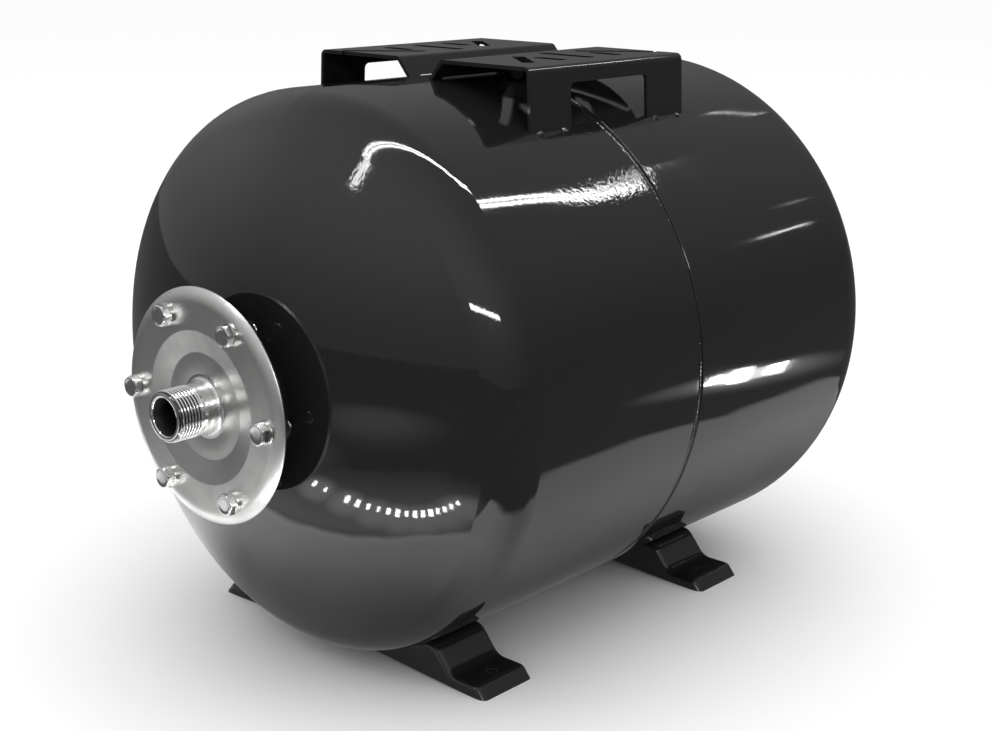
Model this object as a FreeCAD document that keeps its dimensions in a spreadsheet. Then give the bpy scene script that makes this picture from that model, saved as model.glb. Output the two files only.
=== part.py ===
import FreeCAD, Part
import math
import os
import re
import Sketcher
from FreeCAD import Placement, Rotation, Vector

# Horizontal well pressure tank: two pressed shells joined by a girth seam, a rubber
# bladder clamped behind a bolted flange, two pressed feet, two pump brackets and an
# air valve. The tank's axis is along X, the water flange faces -X, and X = 0 is the seam.

# Driving sizes, in millimetres and degrees
SIZES = {
    # Shells
    "tank_radius": 190.0,
    "floor_gap": 10.0,
    "shell_wall": 1.5,
    "front_straight": 162.0,
    "rear_straight": 189.8,
    "knuckle_radius": 39.0,
    "crown_radius": 312.0,
    "seam_gap": 4.4,
    "seam_round": 1.0,
    "seam_slope": 3.0,
    "lap_length": 14.0,
    "lap_clearance": 0.2,
    # Neck of the front shell
    "neck_radius": 50.0,
    "neck_fillet": 5.0,
    "neck_bend": 2.0,
    "neck_rise": 15.9,
    "neck_flange_radius": 72.0,
    # Flange, bolts and water nipple
    "bladder_wall": 2.2,
    "bladder_rim": 3.0,
    "bladder_rim_radius": 57.0,
    "bladder_radius": 150.0,
    "bladder_front": 75.0,
    "bladder_shoulder": 150.0,
    "bladder_rear": 85.0,
    "flange_sheet": 3.0,
    "flange_flat_radius": 70.5,
    "flange_bend": 7.8,
    "flange_rim_angle": 50.0,
    "step_inner_radius": 34.5,
    "step_depth": 3.7,
    "step_bend": 4.0,
    "step_slope_angle": 14.8,
    "bolt_circle": 62.5,
    "bolt_hole": 4.5,
    "bolt_clocking_angle": -2.27,
    "bolt_turn_angle": 17.0,
    "washer_turn_angle": 55.0,
    "bolt_radius": 4.0,
    "bolt_length": 20.0,
    "bolt_head": 5.3,
    "bolt_flats": 13.0,
    "bolt_chamfer": 1.0,
    "washer_height": 2.0,
    "washer_inner": 4.05,
    "washer_outer": 7.4,
    "washer_split": 1.2,
    "nut_height": 6.5,
    "nipple_radius": 16.62,
    "nipple_bore": 12.0,
    "nipple_reach": 31.0,
    "nipple_chamfer": 1.5,
    "nipple_tail": 1.0,
    "weld_collar": 4.4,
    # Feet
    "foot_shift": -3.7,
    "foot_spacing": 244.5,
    "foot_width": 49.3,
    "foot_sheet": 2.5,
    "foot_wrap_angle": 24.0,
    "foot_slope_angle": 50.0,
    "foot_toe": 24.4,
    "foot_crest": 12.0,
    "foot_valley": 12.0,
    "foot_pad": 8.7,
    "foot_lip": 6.0,
    "foot_arch": 5.5,
    "foot_sole": 14.0,
    "foot_edge": 4.5,
    "foot_hole": 4.25,
    "foot_hole_inset": 15.9,
    # Pump brackets
    "bracket_middle": 9.3,
    "bracket_length": 164.4,
    "bracket_rise": 13.4,
    "bracket_sheet": 2.5,
    "bracket_outer": 98.4,
    "bracket_inner": 17.7,
    "bracket_bend": 4.5,
    "bracket_splay_angle": 3.0,
    "bracket_lean_angle": 40.5,
    "bracket_leg": 41.0,
    "window_drop": 12.2,
    "window_corner": 4.0,
    "notch_inset": 10.0,
    "notch_length": 58.0,
    "notch_height": 3.0,
    "slot_width": 9.0,
    "slot_centre": 8.0,
    "slot_near": 78.0,
    "slot_far": 30.0,
    "slot_short": 27.0,
    "slot_pitch": 30.0,
    "slot_corner": 34.0,
    "slot_slant": 36.0,
    "square_slot_slant": 30.0,
    "tab_dip": 1.9,
    # Air valve in the rear crown
    "bush_radius": 12.0,
    "bush_inside": 7.0,
    "bush_outside": 5.0,
    "bush_bore": 5.0,
    "bush_chamfer": 0.8,
    "gasket_radius": 8.5,
    "gasket_height": 1.5,
    "stem_flats": 14.0,
    "stem_hex": 4.0,
    "stem_radius": 3.85,
    "stem_reach": 6.5,
    "stem_bore": 2.65,
    "stem_tail": 11.5,
    "core_length": 6.5,
    "core_drop": 1.5,
    "core_bore": 0.9,
    "pin_radius": 0.8,
    "pin_proud": 0.7,
    "pin_tail": 3.0,
    "pin_foot": 1.9,
    "seal_height": 1.2,
    "cap_radius": 5.0,
    "cap_cover": 5.0,
    "cap_top": 1.4,
    "cap_clearance": 0.4,
    "cover_radius": 22.0,
    "cover_reach": 21.4,
    "cover_wall": 1.8,
    "cover_edge": 3.0,
    "cover_clip": 1.2,
    "cover_clip_gap": 3.5,
    "flute_radius": 1.6,
    "flute_proud": 0.8,
}

# Places that several sizes give together; one may name another
PLACES = {
    "axis_height": "(tank_radius + floor_gap)",
    "crown_gap": "sqrt((crown_radius - knuckle_radius)^2 - (tank_radius - knuckle_radius)^2)",
    "front_crown": "(crown_gap - front_straight)",
    "rear_crown": "(rear_straight - crown_gap)",
    "front_apex": "(front_crown - crown_radius)",
    "rear_apex": "(rear_crown + crown_radius)",
    "shell_bore": "(tank_radius - shell_wall)",
    "lap_radius": "(shell_bore - lap_clearance)",
    "seam_edge": "(seam_gap / 2)",
    "seam_floor": "(tank_radius - seam_round)",
    # Neck: the fillet at its foot touches both the crown and the neck's cylinder
    "neck_face": "(front_apex - neck_rise)",
    "neck_foot_radius": "(neck_radius + neck_fillet)",
    "neck_foot_x": "(front_crown - sqrt((crown_radius + neck_fillet)^2 - neck_foot_radius^2))",
    "neck_bend_x": "(neck_face + shell_wall + neck_bend)",
    "neck_bend_radius": "(neck_radius + neck_bend)",
    "sleeve_radius": "(neck_radius - shell_wall)",
    # Counter flange: a straight cone between two bends of one radius
    "ring_back": "(neck_face - bladder_rim)",
    "ring_front": "(ring_back - flange_sheet)",
    "disc_front": "(ring_front + step_depth)",
    "disc_back": "(disc_front + flange_sheet)",
    "bend_drop": "(step_bend * (1 - cos(step_slope_angle)))",
    "bend_run": "(step_bend * sin(step_slope_angle))",
    "step_outer": "(step_inner_radius + 2 * bend_run + (step_depth - 2 * bend_drop) / tan(step_slope_angle))",
    # Feet
    "crest_y": "((tank_radius + foot_crest) * sin(foot_wrap_angle))",
    "crest_z": "(axis_height - (tank_radius + foot_crest) * cos(foot_wrap_angle))",
    "valley_z": "(foot_pad + foot_valley)",
    "valley_y": "(crest_y + (cos(foot_slope_angle) * (crest_z - valley_z) + foot_crest + foot_valley)"
                " / sin(foot_slope_angle))",
    "foot_half_span": "(valley_y + foot_toe)",
    "lip_z": "(foot_pad - foot_lip)",
    "lip_y": "(foot_half_span - (foot_lip + cos(foot_slope_angle) * lip_z) / sin(foot_slope_angle))",
    # Pump brackets
    "bracket_top": "(axis_height + tank_radius + bracket_rise)",
    "plate_under": "(bracket_top - bracket_sheet)",
    "wall_bend_y": "(bracket_outer - bracket_bend)",
    "flange_bend_y": "(bracket_inner + bracket_bend)",
    "plate_bend_z": "(bracket_top - bracket_bend)",
    "square_slot_x": "(slot_corner - slot_centre)",
    "fan_slot_y": "(slot_far + slot_width)",
    # Air valve
    "bush_seat": "(rear_apex + bush_outside)",
    "stem_base": "(bush_seat + gasket_height)",
    "stem_neck": "(stem_base + stem_hex)",
    "stem_top": "(stem_neck + stem_reach)",
    "core_top": "(stem_top - core_drop)",
    "core_low": "(core_top - core_length)",
    "seal_low": "(core_low - seal_height)",
    "cap_roof": "(stem_top + cap_clearance)",
    "cover_end": "(rear_apex + cover_reach)",
    "cover_bore": "(cover_radius - cover_wall)",
    "cover_rim": "(rear_crown + sqrt(crown_radius^2 - cover_bore^2))",
    "clip_radius": "(bush_radius + cover_clip)",
}

doc = FreeCAD.newDocument("pressure_tank")
sheet = doc.addObject("Spreadsheet::Sheet", "sizes")
for row, (alias, size) in enumerate(SIZES.items(), start=1):
    sheet.set(f"A{row}", alias)
    sheet.set(f"B{row}", str(size))
    sheet.setAlias(f"B{row}", alias)
doc.recompute()


def bound(text):
    """The expression with its places spelled out and each size's name led by the sheet's name."""
    while any(name in PLACES for name in re.findall(r"[a-z_]+", text)):
        text = re.sub(r"[a-z_]+", lambda m: PLACES.get(m[0], m[0]), text)
    return re.sub(r"[a-z_]+", lambda m: f"sizes.{m[0]}" if m[0] in SIZES else m[0], text)


def number(text):
    """The present value of an expression in the sheet's sizes."""
    found = sheet.evalExpression(bound(text))
    return float(getattr(found, "Value", found))


def plane_of(body, role):
    for item in body.Origin.OriginFeatures:
        if item.Role == role:
            return item
    raise ValueError(role)


def new_body(label, height=None, along=None):
    body = doc.addObject("PartDesign::Body", label)
    body.Label = label
    if height:
        body.setExpression("Placement.Base.z", bound(height))
    if along:
        body.setExpression("Placement.Base.x", bound(along))
    return body


def new_sketch(body, role, name, offset=None):
    sketch = body.newObject("Sketcher::SketchObject", name)
    sketch.AttachmentSupport = [(plane_of(body, role), "")]
    sketch.MapMode = "FlatFace"
    if offset:
        sketch.setExpression("AttachmentOffset.Base.z", bound(offset))
    return sketch


def pin_point(sketch, geometry, place, point, axes="XY"):
    """Fix a sketch point at a pair of expressions, measured from the sketch's origin."""
    for axis, text in zip("XY", point):
        if axis in axes:
            index = sketch.addConstraint(
                Sketcher.Constraint(f"Distance{axis}", -1, 1, geometry, place, number(text)))
            sketch.setExpression(f"Constraints[{index}]", bound(text))


def outline(sketch, start, *moves):
    """Draw a closed outline. A move is (point,) for a line, or (point, centre, turn) for an
    arc, where turn is 1 anticlockwise and -1 clockwise. Points are pairs of expressions."""
    here, ends = start, []
    for move in moves:
        there = move[0]
        a = Vector(number(here[0]), number(here[1]), 0)
        b = Vector(number(there[0]), number(there[1]), 0)
        if len(move) == 1:
            ends.append((sketch.addGeometry(Part.LineSegment(a, b)), 1, 2))
        else:
            centre, turn = move[1], move[2]
            c = Vector(number(centre[0]), number(centre[1]), 0)
            first, last = (a, b) if turn > 0 else (b, a)
            angles = [math.atan2(p.y - c.y, p.x - c.x) for p in (first, last)]
            if angles[1] <= angles[0]:
                angles[1] += 2 * math.pi
            circle = Part.Circle(c, Vector(0, 0, 1), (a - c).Length)
            geometry = sketch.addGeometry(Part.ArcOfCircle(circle, *angles))
            ends.append((geometry, 1, 2) if turn > 0 else (geometry, 2, 1))
            pin_point(sketch, geometry, 3, centre, "X" if abs(a.x - b.x) < abs(a.y - b.y) else "Y")
        pin_point(sketch, ends[-1][0], ends[-1][2], there)
        here = there
    for before, after in zip(ends, ends[1:] + ends[:1]):
        sketch.addConstraint(
            Sketcher.Constraint("Coincident", before[0], before[2], after[0], after[1]))


def circles(sketch, radius, *centres):
    for centre in centres:
        place = Vector(number(centre[0]), number(centre[1]), 0)
        geometry = sketch.addGeometry(Part.Circle(place, Vector(0, 0, 1), number(radius)))
        pin_point(sketch, geometry, 3, centre)
        index = sketch.addConstraint(Sketcher.Constraint("Radius", geometry, number(radius)))
        sketch.setExpression(f"Constraints[{index}]", bound(radius))


def turned(label, start, *moves):
    """A piece turned about the tank's axis, from an outline of (x, radius) points."""
    body = new_body(label, "axis_height")
    sketch = new_sketch(body, "XZ_Plane", f"{label}_outline")
    outline(sketch, start, *moves)
    revolve(body, sketch, f"{label}_turn")
    return body


def revolve(body, sketch, name):
    turn = body.newObject("PartDesign::Revolution", name)
    turn.Profile = sketch
    turn.ReferenceAxis = (sketch, ["H_Axis"])
    turn.Angle = 360


def pocket(body, sketch, name, depth=None, reverse=False):
    cut = body.newObject("PartDesign::Pocket", name)
    cut.Profile = sketch
    cut.Reversed = reverse
    if depth:
        cut.Type = "Length"
        cut.setExpression("Length", bound(depth))
    else:
        cut.Type = "ThroughAll"
    return cut


def around(body, cut, name, count):
    """Repeat a cut evenly round the tank's axis."""
    ring = body.newObject("PartDesign::PolarPattern", name)
    ring.Originals = [cut]
    ring.Axis = (plane_of(body, "X_Axis"), [""])
    ring.Angle = 360
    ring.Occurrences = count
    body.Tip = ring


def bolt_places():
    """The six bolt centres as (y, z) about the tank's axis, with their clock angles."""
    circle = number("bolt_circle")
    for step in range(6):
        angle = math.radians(number("bolt_clocking_angle") + 60 * step)
        yield step, -circle * math.cos(angle), circle * math.sin(angle)


def bolt_holes(body, face, depth):
    """Six clearance holes round the bolt circle, cut into a flat face that looks along -X."""
    sketch = new_sketch(body, "YZ_Plane", f"{body.Label}_hole", f"{face} + {depth}")
    circles(sketch, "bolt_hole", ("-bolt_circle * cos(bolt_clocking_angle)",
                                  "bolt_circle * sin(bolt_clocking_angle)"))
    cut = pocket(body, sketch, f"{body.Label}_hole_cut", f"{depth} + 1")
    around(body, cut, f"{body.Label}_hole_ring", 6)


def on_crown(centre, side, wall):
    """Where the knuckle meets the crown, on the outer (wall 0) or inner surface."""
    share = f"(crown_radius - {wall}) / (crown_radius - knuckle_radius)"
    return (f"{centre} + {side} * crown_gap * {share}", f"(tank_radius - knuckle_radius) * {share}")


def on_neck_foot(wall):
    """Where the neck's fillet meets the crown, on the outer (wall 0) or inner surface."""
    share = f"(crown_radius - {wall}) / (crown_radius + neck_fillet)"
    return (f"front_crown + (neck_foot_x - front_crown) * {share}", f"neck_foot_radius * {share}")


def make_front_shell():
    crown, knuckle = ("front_crown", "0"), ("-front_straight", "tank_radius - knuckle_radius")
    foot, bend = ("neck_foot_x", "neck_foot_radius"), ("neck_bend_x", "neck_bend_radius")
    body = turned(
        "front_shell",
        ("-seam_edge", "shell_bore"),
        (("-seam_edge", "seam_floor"),),
        (("-seam_edge - seam_round", "tank_radius"), ("-seam_edge - seam_round", "seam_floor"), 1),
        (("-front_straight", "tank_radius"),),
        (on_crown("front_crown", "-1", "0"), knuckle, 1),
        (on_neck_foot("0"), crown, 1),
        (("neck_foot_x", "neck_radius"), foot, -1),
        (("neck_bend_x", "neck_radius"),),
        (("neck_face + shell_wall", "neck_bend_radius"), bend, -1),
        (("neck_face + shell_wall", "neck_flange_radius"),),
        (("neck_face", "neck_flange_radius"),),
        (("neck_face", "neck_bend_radius"),),
        (("neck_bend_x", "sleeve_radius"), bend, 1),
        (("neck_foot_x", "sleeve_radius"),),
        (on_neck_foot("shell_wall"), foot, 1),
        (on_crown("front_crown", "-1", "shell_wall"), crown, -1),
        (("-front_straight", "shell_bore"), knuckle, -1),
        (("-seam_edge", "shell_bore"),))
    bolt_holes(body, "neck_face", "shell_wall")
    return body


def make_rear_shell():
    crown, knuckle = ("rear_crown", "0"), ("rear_straight", "tank_radius - knuckle_radius")
    lap_bore = "lap_radius - shell_wall"
    return turned(
        "rear_shell",
        ("-lap_length", lap_bore),
        (("-lap_length", "lap_radius"),),
        (("-seam_edge", "lap_radius"),),
        (("-seam_edge", "seam_floor"),),
        (("seam_edge", "seam_floor"),),
        (("seam_edge + seam_round", "tank_radius"), ("seam_edge + seam_round", "seam_floor"), -1),
        (("rear_straight", "tank_radius"),),
        (on_crown("rear_crown", "1", "0"), knuckle, -1),
        (("rear_crown + sqrt(crown_radius^2 - bush_radius^2)", "bush_radius"), crown, -1),
        (("rear_crown + sqrt((crown_radius - shell_wall)^2 - bush_radius^2)", "bush_radius"),),
        (on_crown("rear_crown", "1", "shell_wall"), crown, 1),
        (("rear_straight", "shell_bore"), knuckle, 1),
        (("seam_edge + seam_slope", "shell_bore"),),
        (("seam_edge", lap_bore),),
        (("-lap_length", lap_bore),))


def make_bladder():
    """The bladder as moulded: a rim under the flange, a sleeve in the neck and a long bag."""
    inner, hose = "(bladder_radius - bladder_wall)", "(sleeve_radius - bladder_wall)"
    shoulder_r = ("((bladder_radius^2 - bladder_shoulder^2 - sleeve_radius^2)"
                  " / (2 * (bladder_radius - sleeve_radius)))")
    shoulder, back = ("-bladder_front", shoulder_r), ("bladder_rear", "0")
    inner_start = f"-bladder_front - sqrt(({inner} - {shoulder_r})^2 - ({hose} - {shoulder_r})^2)"
    return turned(
        "bladder",
        ("ring_back", "bladder_rim_radius"),
        (("neck_face", "bladder_rim_radius"),),
        (("neck_face", "neck_bend_radius"),),
        (("neck_bend_x", "sleeve_radius"), ("neck_bend_x", "neck_bend_radius"), 1),
        (("-bladder_front - bladder_shoulder", "sleeve_radius"),),
        (("-bladder_front", "bladder_radius"), shoulder, -1),
        (("bladder_rear", "bladder_radius"),),
        (("bladder_rear + bladder_radius", "0"), back, -1),
        ((f"bladder_rear + {inner}", "0"),),
        (("bladder_rear", inner), back, 1),
        (("-bladder_front", inner),),
        ((inner_start, hose), shoulder, 1),
        (("ring_back + step_depth / 2", hose),),
        (("ring_back", "step_outer"),),
        (("ring_back", "bladder_rim_radius"),))


def make_counter_flange():
    """One dished sheet: a bolt ring, a cone down to the inner disc and a rim bent back."""
    low = ("disc_front - step_bend", "step_inner_radius")
    high = ("ring_front + step_bend", "step_outer")
    rim = ("ring_front + flange_bend", "flange_flat_radius")
    inside, curl = "(flange_bend - flange_sheet)", "flange_rim_angle"
    slope = "step_slope_angle"
    near, far, tight = "step_bend", "(step_bend + flange_sheet)", "(step_bend - flange_sheet)"
    body = turned(
        "counter_flange",
        ("disc_front", "nipple_radius"),
        (("disc_front", "step_inner_radius"),),
        ((f"{low[0]} + {near} * cos({slope})", f"{low[1]} + {near} * sin({slope})"), low, 1),
        ((f"{high[0]} - {near} * cos({slope})", f"{high[1]} - {near} * sin({slope})"),),
        (("ring_front", "step_outer"), high, -1),
        (("ring_front", "flange_flat_radius"),),
        ((f"{rim[0]} - flange_bend * cos({curl})", f"{rim[1]} + flange_bend * sin({curl})"), rim, -1),
        ((f"{rim[0]} - {inside} * cos({curl})", f"{rim[1]} + {inside} * sin({curl})"),),
        (("ring_back", "flange_flat_radius"), rim, 1),
        (("ring_back", "step_outer"),),
        ((f"{high[0]} - {tight} * cos({slope})", f"{high[1]} - {tight} * sin({slope})"), high, 1),
        ((f"{low[0]} + {far} * cos({slope})", f"{low[1]} + {far} * sin({slope})"),),
        (("disc_back", "step_inner_radius"), low, -1),
        (("disc_back", "nipple_radius"),),
        (("disc_front", "nipple_radius"),))
    bolt_holes(body, "ring_front", "flange_sheet")
    return body


def make_inlet_nipple():
    fillet = ("disc_front - weld_collar", "nipple_radius + weld_collar")
    return turned(
        "inlet_nipple",
        ("disc_back + nipple_tail", "nipple_bore"),
        (("disc_back + nipple_tail", "nipple_radius"),),
        (("disc_front", "nipple_radius"),),
        (("disc_front", "nipple_radius + weld_collar"),),
        (("disc_front - weld_collar", "nipple_radius"), fillet, -1),
        (("disc_front - nipple_reach + nipple_chamfer", "nipple_radius"),),
        (("disc_front - nipple_reach", "nipple_radius - nipple_chamfer"),),
        (("disc_front - nipple_reach", "nipple_bore"),),
        (("disc_back + nipple_tail", "nipple_bore"),))


def hexagon(sketch, flats):
    corners = [(f"{flats} / sqrt(3) * cos({60 * k})", f"{flats} / sqrt(3) * sin({60 * k})")
               for k in range(6)]
    outline(sketch, corners[0], *[(corner,) for corner in corners[1:] + corners[:1]])


def trim_to_hexagon(body, name, flats, offset, depth):
    """Cut a round head to a hexagon, by a pocket between it and a circle that is clear of it."""
    sketch = new_sketch(body, "YZ_Plane", f"{name}_hexagon", offset)
    hexagon(sketch, flats)
    circles(sketch, flats, ("0", "0"))
    pocket(body, sketch, f"{name}_trim", depth)


def hex_bolt():
    """One bolt along +X from the seat under its head, chamfered on its head and its end."""
    body = new_body("bolt_form")
    sketch = new_sketch(body, "XZ_Plane", "bolt_outline")
    corner, bevel = "bolt_flats / sqrt(3)", "(bolt_flats / sqrt(3) - bolt_flats / 2)"
    outline(
        sketch, ("-bolt_head", "0"),
        (("bolt_length", "0"),),
        (("bolt_length", "bolt_radius - bolt_chamfer"),),
        (("bolt_length - bolt_chamfer", "bolt_radius"),),
        (("0", "bolt_radius"),),
        (("0", corner),),
        ((f"-bolt_head + {bevel} / 2", corner),),
        (("-bolt_head", f"{corner} - {bevel}"),),
        (("-bolt_head", "0"),))
    revolve(body, sketch, "bolt_turn")
    trim_to_hexagon(body, "bolt", "bolt_flats", None, "bolt_head + 1")
    return body


def spring_washer():
    """One split washer, its flat seat at X = 0 and its other face towards -X."""
    body = new_body("washer_form")
    ring = new_sketch(body, "YZ_Plane", "washer_ring")
    circles(ring, "washer_outer", ("0", "0"))
    circles(ring, "washer_inner", ("0", "0"))
    pad = body.newObject("PartDesign::Pad", "washer_pad")
    pad.Profile = ring
    pad.Reversed = True
    pad.setExpression("Length", bound("washer_height"))
    slit = new_sketch(body, "YZ_Plane", "washer_slit")
    half = "washer_split / 2"
    outline(
        slit, (f"-{half}", "0"),
        ((half, "0"),),
        ((half, "washer_outer + 1"),),
        ((f"-{half}", "washer_outer + 1"),),
        ((f"-{half}", "0"),))
    pocket(body, slit, "washer_slit_cut", "washer_height + 1")
    return body


def weld_nut():
    """One nut along +X from the face that is welded behind the neck flange."""
    body = new_body("nut_form")
    sketch = new_sketch(body, "YZ_Plane", "nut_hexagon")
    hexagon(sketch, "bolt_flats")
    circles(sketch, "bolt_radius", ("0", "0"))
    pad = body.newObject("PartDesign::Pad", "nut_pad")
    pad.Profile = sketch
    pad.setExpression("Length", bound("nut_height"))
    return body


def ring_of(label, form, seat, turn):
    """Six copies of one form round the bolt circle, each turned a little about its own axis."""
    doc.recompute()
    copies = []
    for step, y, z in bolt_places():
        copy = form.Shape.copy()
        turned_by = Rotation(Vector(1, 0, 0), number(turn) * step)
        copy.Placement = Placement(Vector(number(seat), y, z), turned_by)
        copies.append(copy)
    group = doc.addObject("Part::Feature", label)
    group.Label = label
    group.Shape = Part.makeCompound(copies)
    group.Placement = Placement(Vector(0, 0, number("axis_height")), Rotation())
    return group


def foot_outline(depth, floor):
    """Half the foot's top line at a depth in its sheet, from the tank's lowest line outwards:
    up along the tank, over a crest, down a slope to the pad and down again at the lip."""
    slope, wrap = "foot_slope_angle", "foot_wrap_angle"
    seat = f"(tank_radius + {depth})"
    over, under, edge = f"(foot_crest - {depth})", f"(foot_valley + {depth})", f"(foot_lip - {depth})"
    pad = f"foot_pad - {depth}"
    foot_y = f"foot_half_span - ({depth} + {floor} * cos({slope})) / sin({slope})"
    return [
        ((f"{seat} * sin({wrap})", f"axis_height - {seat} * cos({wrap})"), ("0", "axis_height"), 1),
        ((f"crest_y + {over} * sin({slope})", f"crest_z + {over} * cos({slope})"), ("crest_y", "crest_z"), -1),
        ((f"valley_y - {under} * sin({slope})", f"valley_z - {under} * cos({slope})"),),
        (("valley_y", pad), ("valley_y", "valley_z"), 1),
        (("lip_y", pad),),
        ((f"lip_y + {edge} * sin({slope})", f"lip_z + {edge} * cos({slope})"), ("lip_y", "lip_z"), -1),
        ((foot_y, floor),)]


def across(point):
    return (f"-({point[0]})", point[1])


def draw_foot(sketch, depth, floor, under):
    """The closed section of a foot: the top line of both halves and the points under them."""
    half = foot_outline(depth, floor)
    points = [("0", f"axis_height - tank_radius - {depth}")] + [move[0] for move in half]
    back = []
    for move, point in zip(reversed(half), reversed(points[:-1])):
        back.append((across(point),) if len(move) == 1 else (across(point), across(move[1]), move[2]))
    outline(sketch, points[0], *half, *[(point,) for point in under], (across(points[-1]),), *back)


def pad_both_ways(body, sketch, name, length):
    pad = body.newObject("PartDesign::Pad", name)
    pad.Profile = sketch
    pad.Midplane = True
    pad.setExpression("Length", bound(length))
    return pad


def round_top(body, pad, half_width, radius):
    """Round the edges of a foot's two sides, all but those that border its underside."""
    doc.recompute()
    reach, names = number(half_width), []
    for index, edge in enumerate(pad.Shape.Edges, start=1):
        ends = [vertex.Point.x for vertex in edge.Vertexes]
        if abs(ends[0] - ends[-1]) > 0.01 or abs(abs(ends[0]) - reach) > 0.01:
            continue
        faces = pad.Shape.ancestorsOfType(edge, Part.Face)
        lowest = min(face.normalAt(*face.Surface.parameter(edge.CenterOfMass)).z for face in faces)
        if lowest > -0.5:
            names.append(f"Edge{index}")
    fillet = body.newObject("PartDesign::Fillet", f"{body.Label}_round")
    fillet.Base = (pad, names)
    fillet.setExpression("Radius", bound(radius))


def make_foot(label, side):
    """A foot: the pressed blank less the hollow under it, both drawn from one section."""
    along = f"foot_shift + {side} * foot_spacing / 2"
    blank = new_body(f"{label}_blank", along=along)
    section = new_sketch(blank, "YZ_Plane", f"{label}_section")
    sole = ("foot_half_span - foot_sole", "0")
    draw_foot(section, "0", "0", [sole, ("0", "foot_arch"), across(sole)])
    pad = pad_both_ways(blank, section, f"{label}_pad", "foot_width")
    round_top(blank, pad, "foot_width / 2", "foot_edge")
    holes = new_sketch(blank, "XY_Plane", f"{label}_bolts", "foot_pad + 1")
    inset = ("0", "foot_half_span - foot_hole_inset")
    circles(holes, "foot_hole", inset, ("0", f"-({inset[1]})"))
    pocket(blank, holes, f"{label}_bolt_cut", "foot_pad + 2")

    hollow = new_body(f"{label}_hollow", along=along)
    inner = new_sketch(hollow, "YZ_Plane", f"{label}_inner")
    draw_foot(inner, "foot_sheet", "-foot_sheet", [])
    fill = pad_both_ways(hollow, inner, f"{label}_fill", "foot_width - 2 * foot_sheet")
    round_top(hollow, fill, "foot_width / 2 - foot_sheet", "foot_edge - foot_sheet")

    foot = doc.addObject("Part::Cut", label)
    foot.Label = label
    foot.Base = blank
    foot.Tool = hollow
    return foot


def notch_outline(sketch, side, turn):
    """A shallow notch in the foot of a bracket's outer wall, near one end, with a round roof."""
    far = "(bracket_length / 2 - notch_inset)"
    near, corner = f"({far} - notch_length)", "notch_height / 2"
    edge, roof = "axis_height + tank_radius - notch_height", "(axis_height + tank_radius + notch_height)"
    outline(
        sketch, (f"{side}{far}", edge),
        ((f"{side}{far}", f"{roof} - {corner}"),),
        ((f"{side}({far} - {corner})", roof), (f"{side}({far} - {corner})", f"{roof} - {corner}"), turn),
        ((f"{side}({near} + {corner})", roof),),
        ((f"{side}{near}", f"{roof} - {corner}"),
         (f"{side}({near} + {corner})", f"{roof} - {corner}"), turn),
        ((f"{side}{near}", edge),),
        ((f"{side}{far}", edge),))


def draw_bracket_section(sketch, low):
    """The bent sheet from its end: a plate, an outer wall that splays and a leaning flange."""
    inside = "(bracket_bend - bracket_sheet)"
    splay, lean = "bracket_splay_angle", "bracket_lean_angle"
    outer, inner = ("wall_bend_y", "plate_bend_z"), ("flange_bend_y", "plate_bend_z")

    def off(centre, radius, way, angle):
        return (f"{centre[0]} {way} {radius} * cos({angle})", f"{centre[1]} + {radius} * sin({angle})")

    wall_top, wall_in = off(outer, "bracket_bend", "+", splay), off(outer, inside, "+", splay)
    flange_top, flange_in = off(inner, "bracket_bend", "-", lean), off(inner, inside, "-", lean)
    wall_run = f"({wall_top[1]} - ({low}))"
    flange_run = "(bracket_rise + bracket_sheet * 2)"
    wall_foot = f"{wall_in[0]} + {wall_run} * tan({splay}) - bracket_sheet * sin({splay}) * tan({splay})"
    outline(
        sketch, ("flange_bend_y", "bracket_top"),
        (("wall_bend_y", "bracket_top"),),
        (wall_top, outer, -1),
        ((f"{wall_top[0]} + {wall_run} * tan({splay})", low),),
        ((wall_foot, low),),
        (wall_in,),
        (("wall_bend_y", "plate_under"), outer, 1),
        (("flange_bend_y", "plate_under"),),
        (flange_in, inner, 1),
        ((f"{flange_in[0]} - {flange_run} * tan({lean})", f"{flange_in[1]} - {flange_run}"),),
        ((f"{flange_top[0]} - {flange_run} * tan({lean})", f"{flange_top[1]} - {flange_run}"),),
        (flange_top,),
        (("flange_bend_y", "bracket_top"), inner, -1))


def draw_window(sketch, low):
    """The opening in the outer wall, from low up to two round corners."""
    half, top = "(bracket_length / 2 - bracket_leg)", "(bracket_top - window_drop)"
    shoulder = f"{top} - window_corner"
    outline(
        sketch, (half, low),
        ((half, shoulder),),
        ((f"{half} - window_corner", top), (f"{half} - window_corner", shoulder), 1),
        ((f"-{half} + window_corner", top),),
        ((f"-{half}", shoulder), (f"-{half} + window_corner", shoulder), 1),
        ((f"-{half}", low),),
        ((half, low),))


def add_tab(body, label):
    """The tongue at the inner end of the square slot, cut from the plate and bent straight down."""
    tab = new_sketch(body, "YZ_Plane", f"{label}_tab")
    tab.AttachmentOffset = Placement(Vector(), Rotation(Vector(0, 1, 0), 1))
    tab.setExpression("AttachmentOffset.Base.x", bound("fan_slot_y"))
    tab.setExpression("AttachmentOffset.Base.z", bound("square_slot_x"))
    tab.setExpression("AttachmentOffset.Rotation.Angle", bound("atan(slot_slant / square_slot_slant)"))
    half, root = "slot_width / 2", "plate_under + bracket_sheet / 2"
    tip = "axis_height + tank_radius - tab_dip"
    outline(
        tab, (f"-{half}", root),
        ((f"-{half}", f"{tip} + {half}"),),
        ((half, f"{tip} + {half}"), ("0", f"{tip} + {half}"), 1),
        ((half, root),),
        ((f"-{half}", root),))
    pad = body.newObject("PartDesign::Pad", f"{label}_tab_pad")
    pad.Profile = tab
    pad.Reversed = True
    pad.setExpression("Length", bound("bracket_sheet"))


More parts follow.
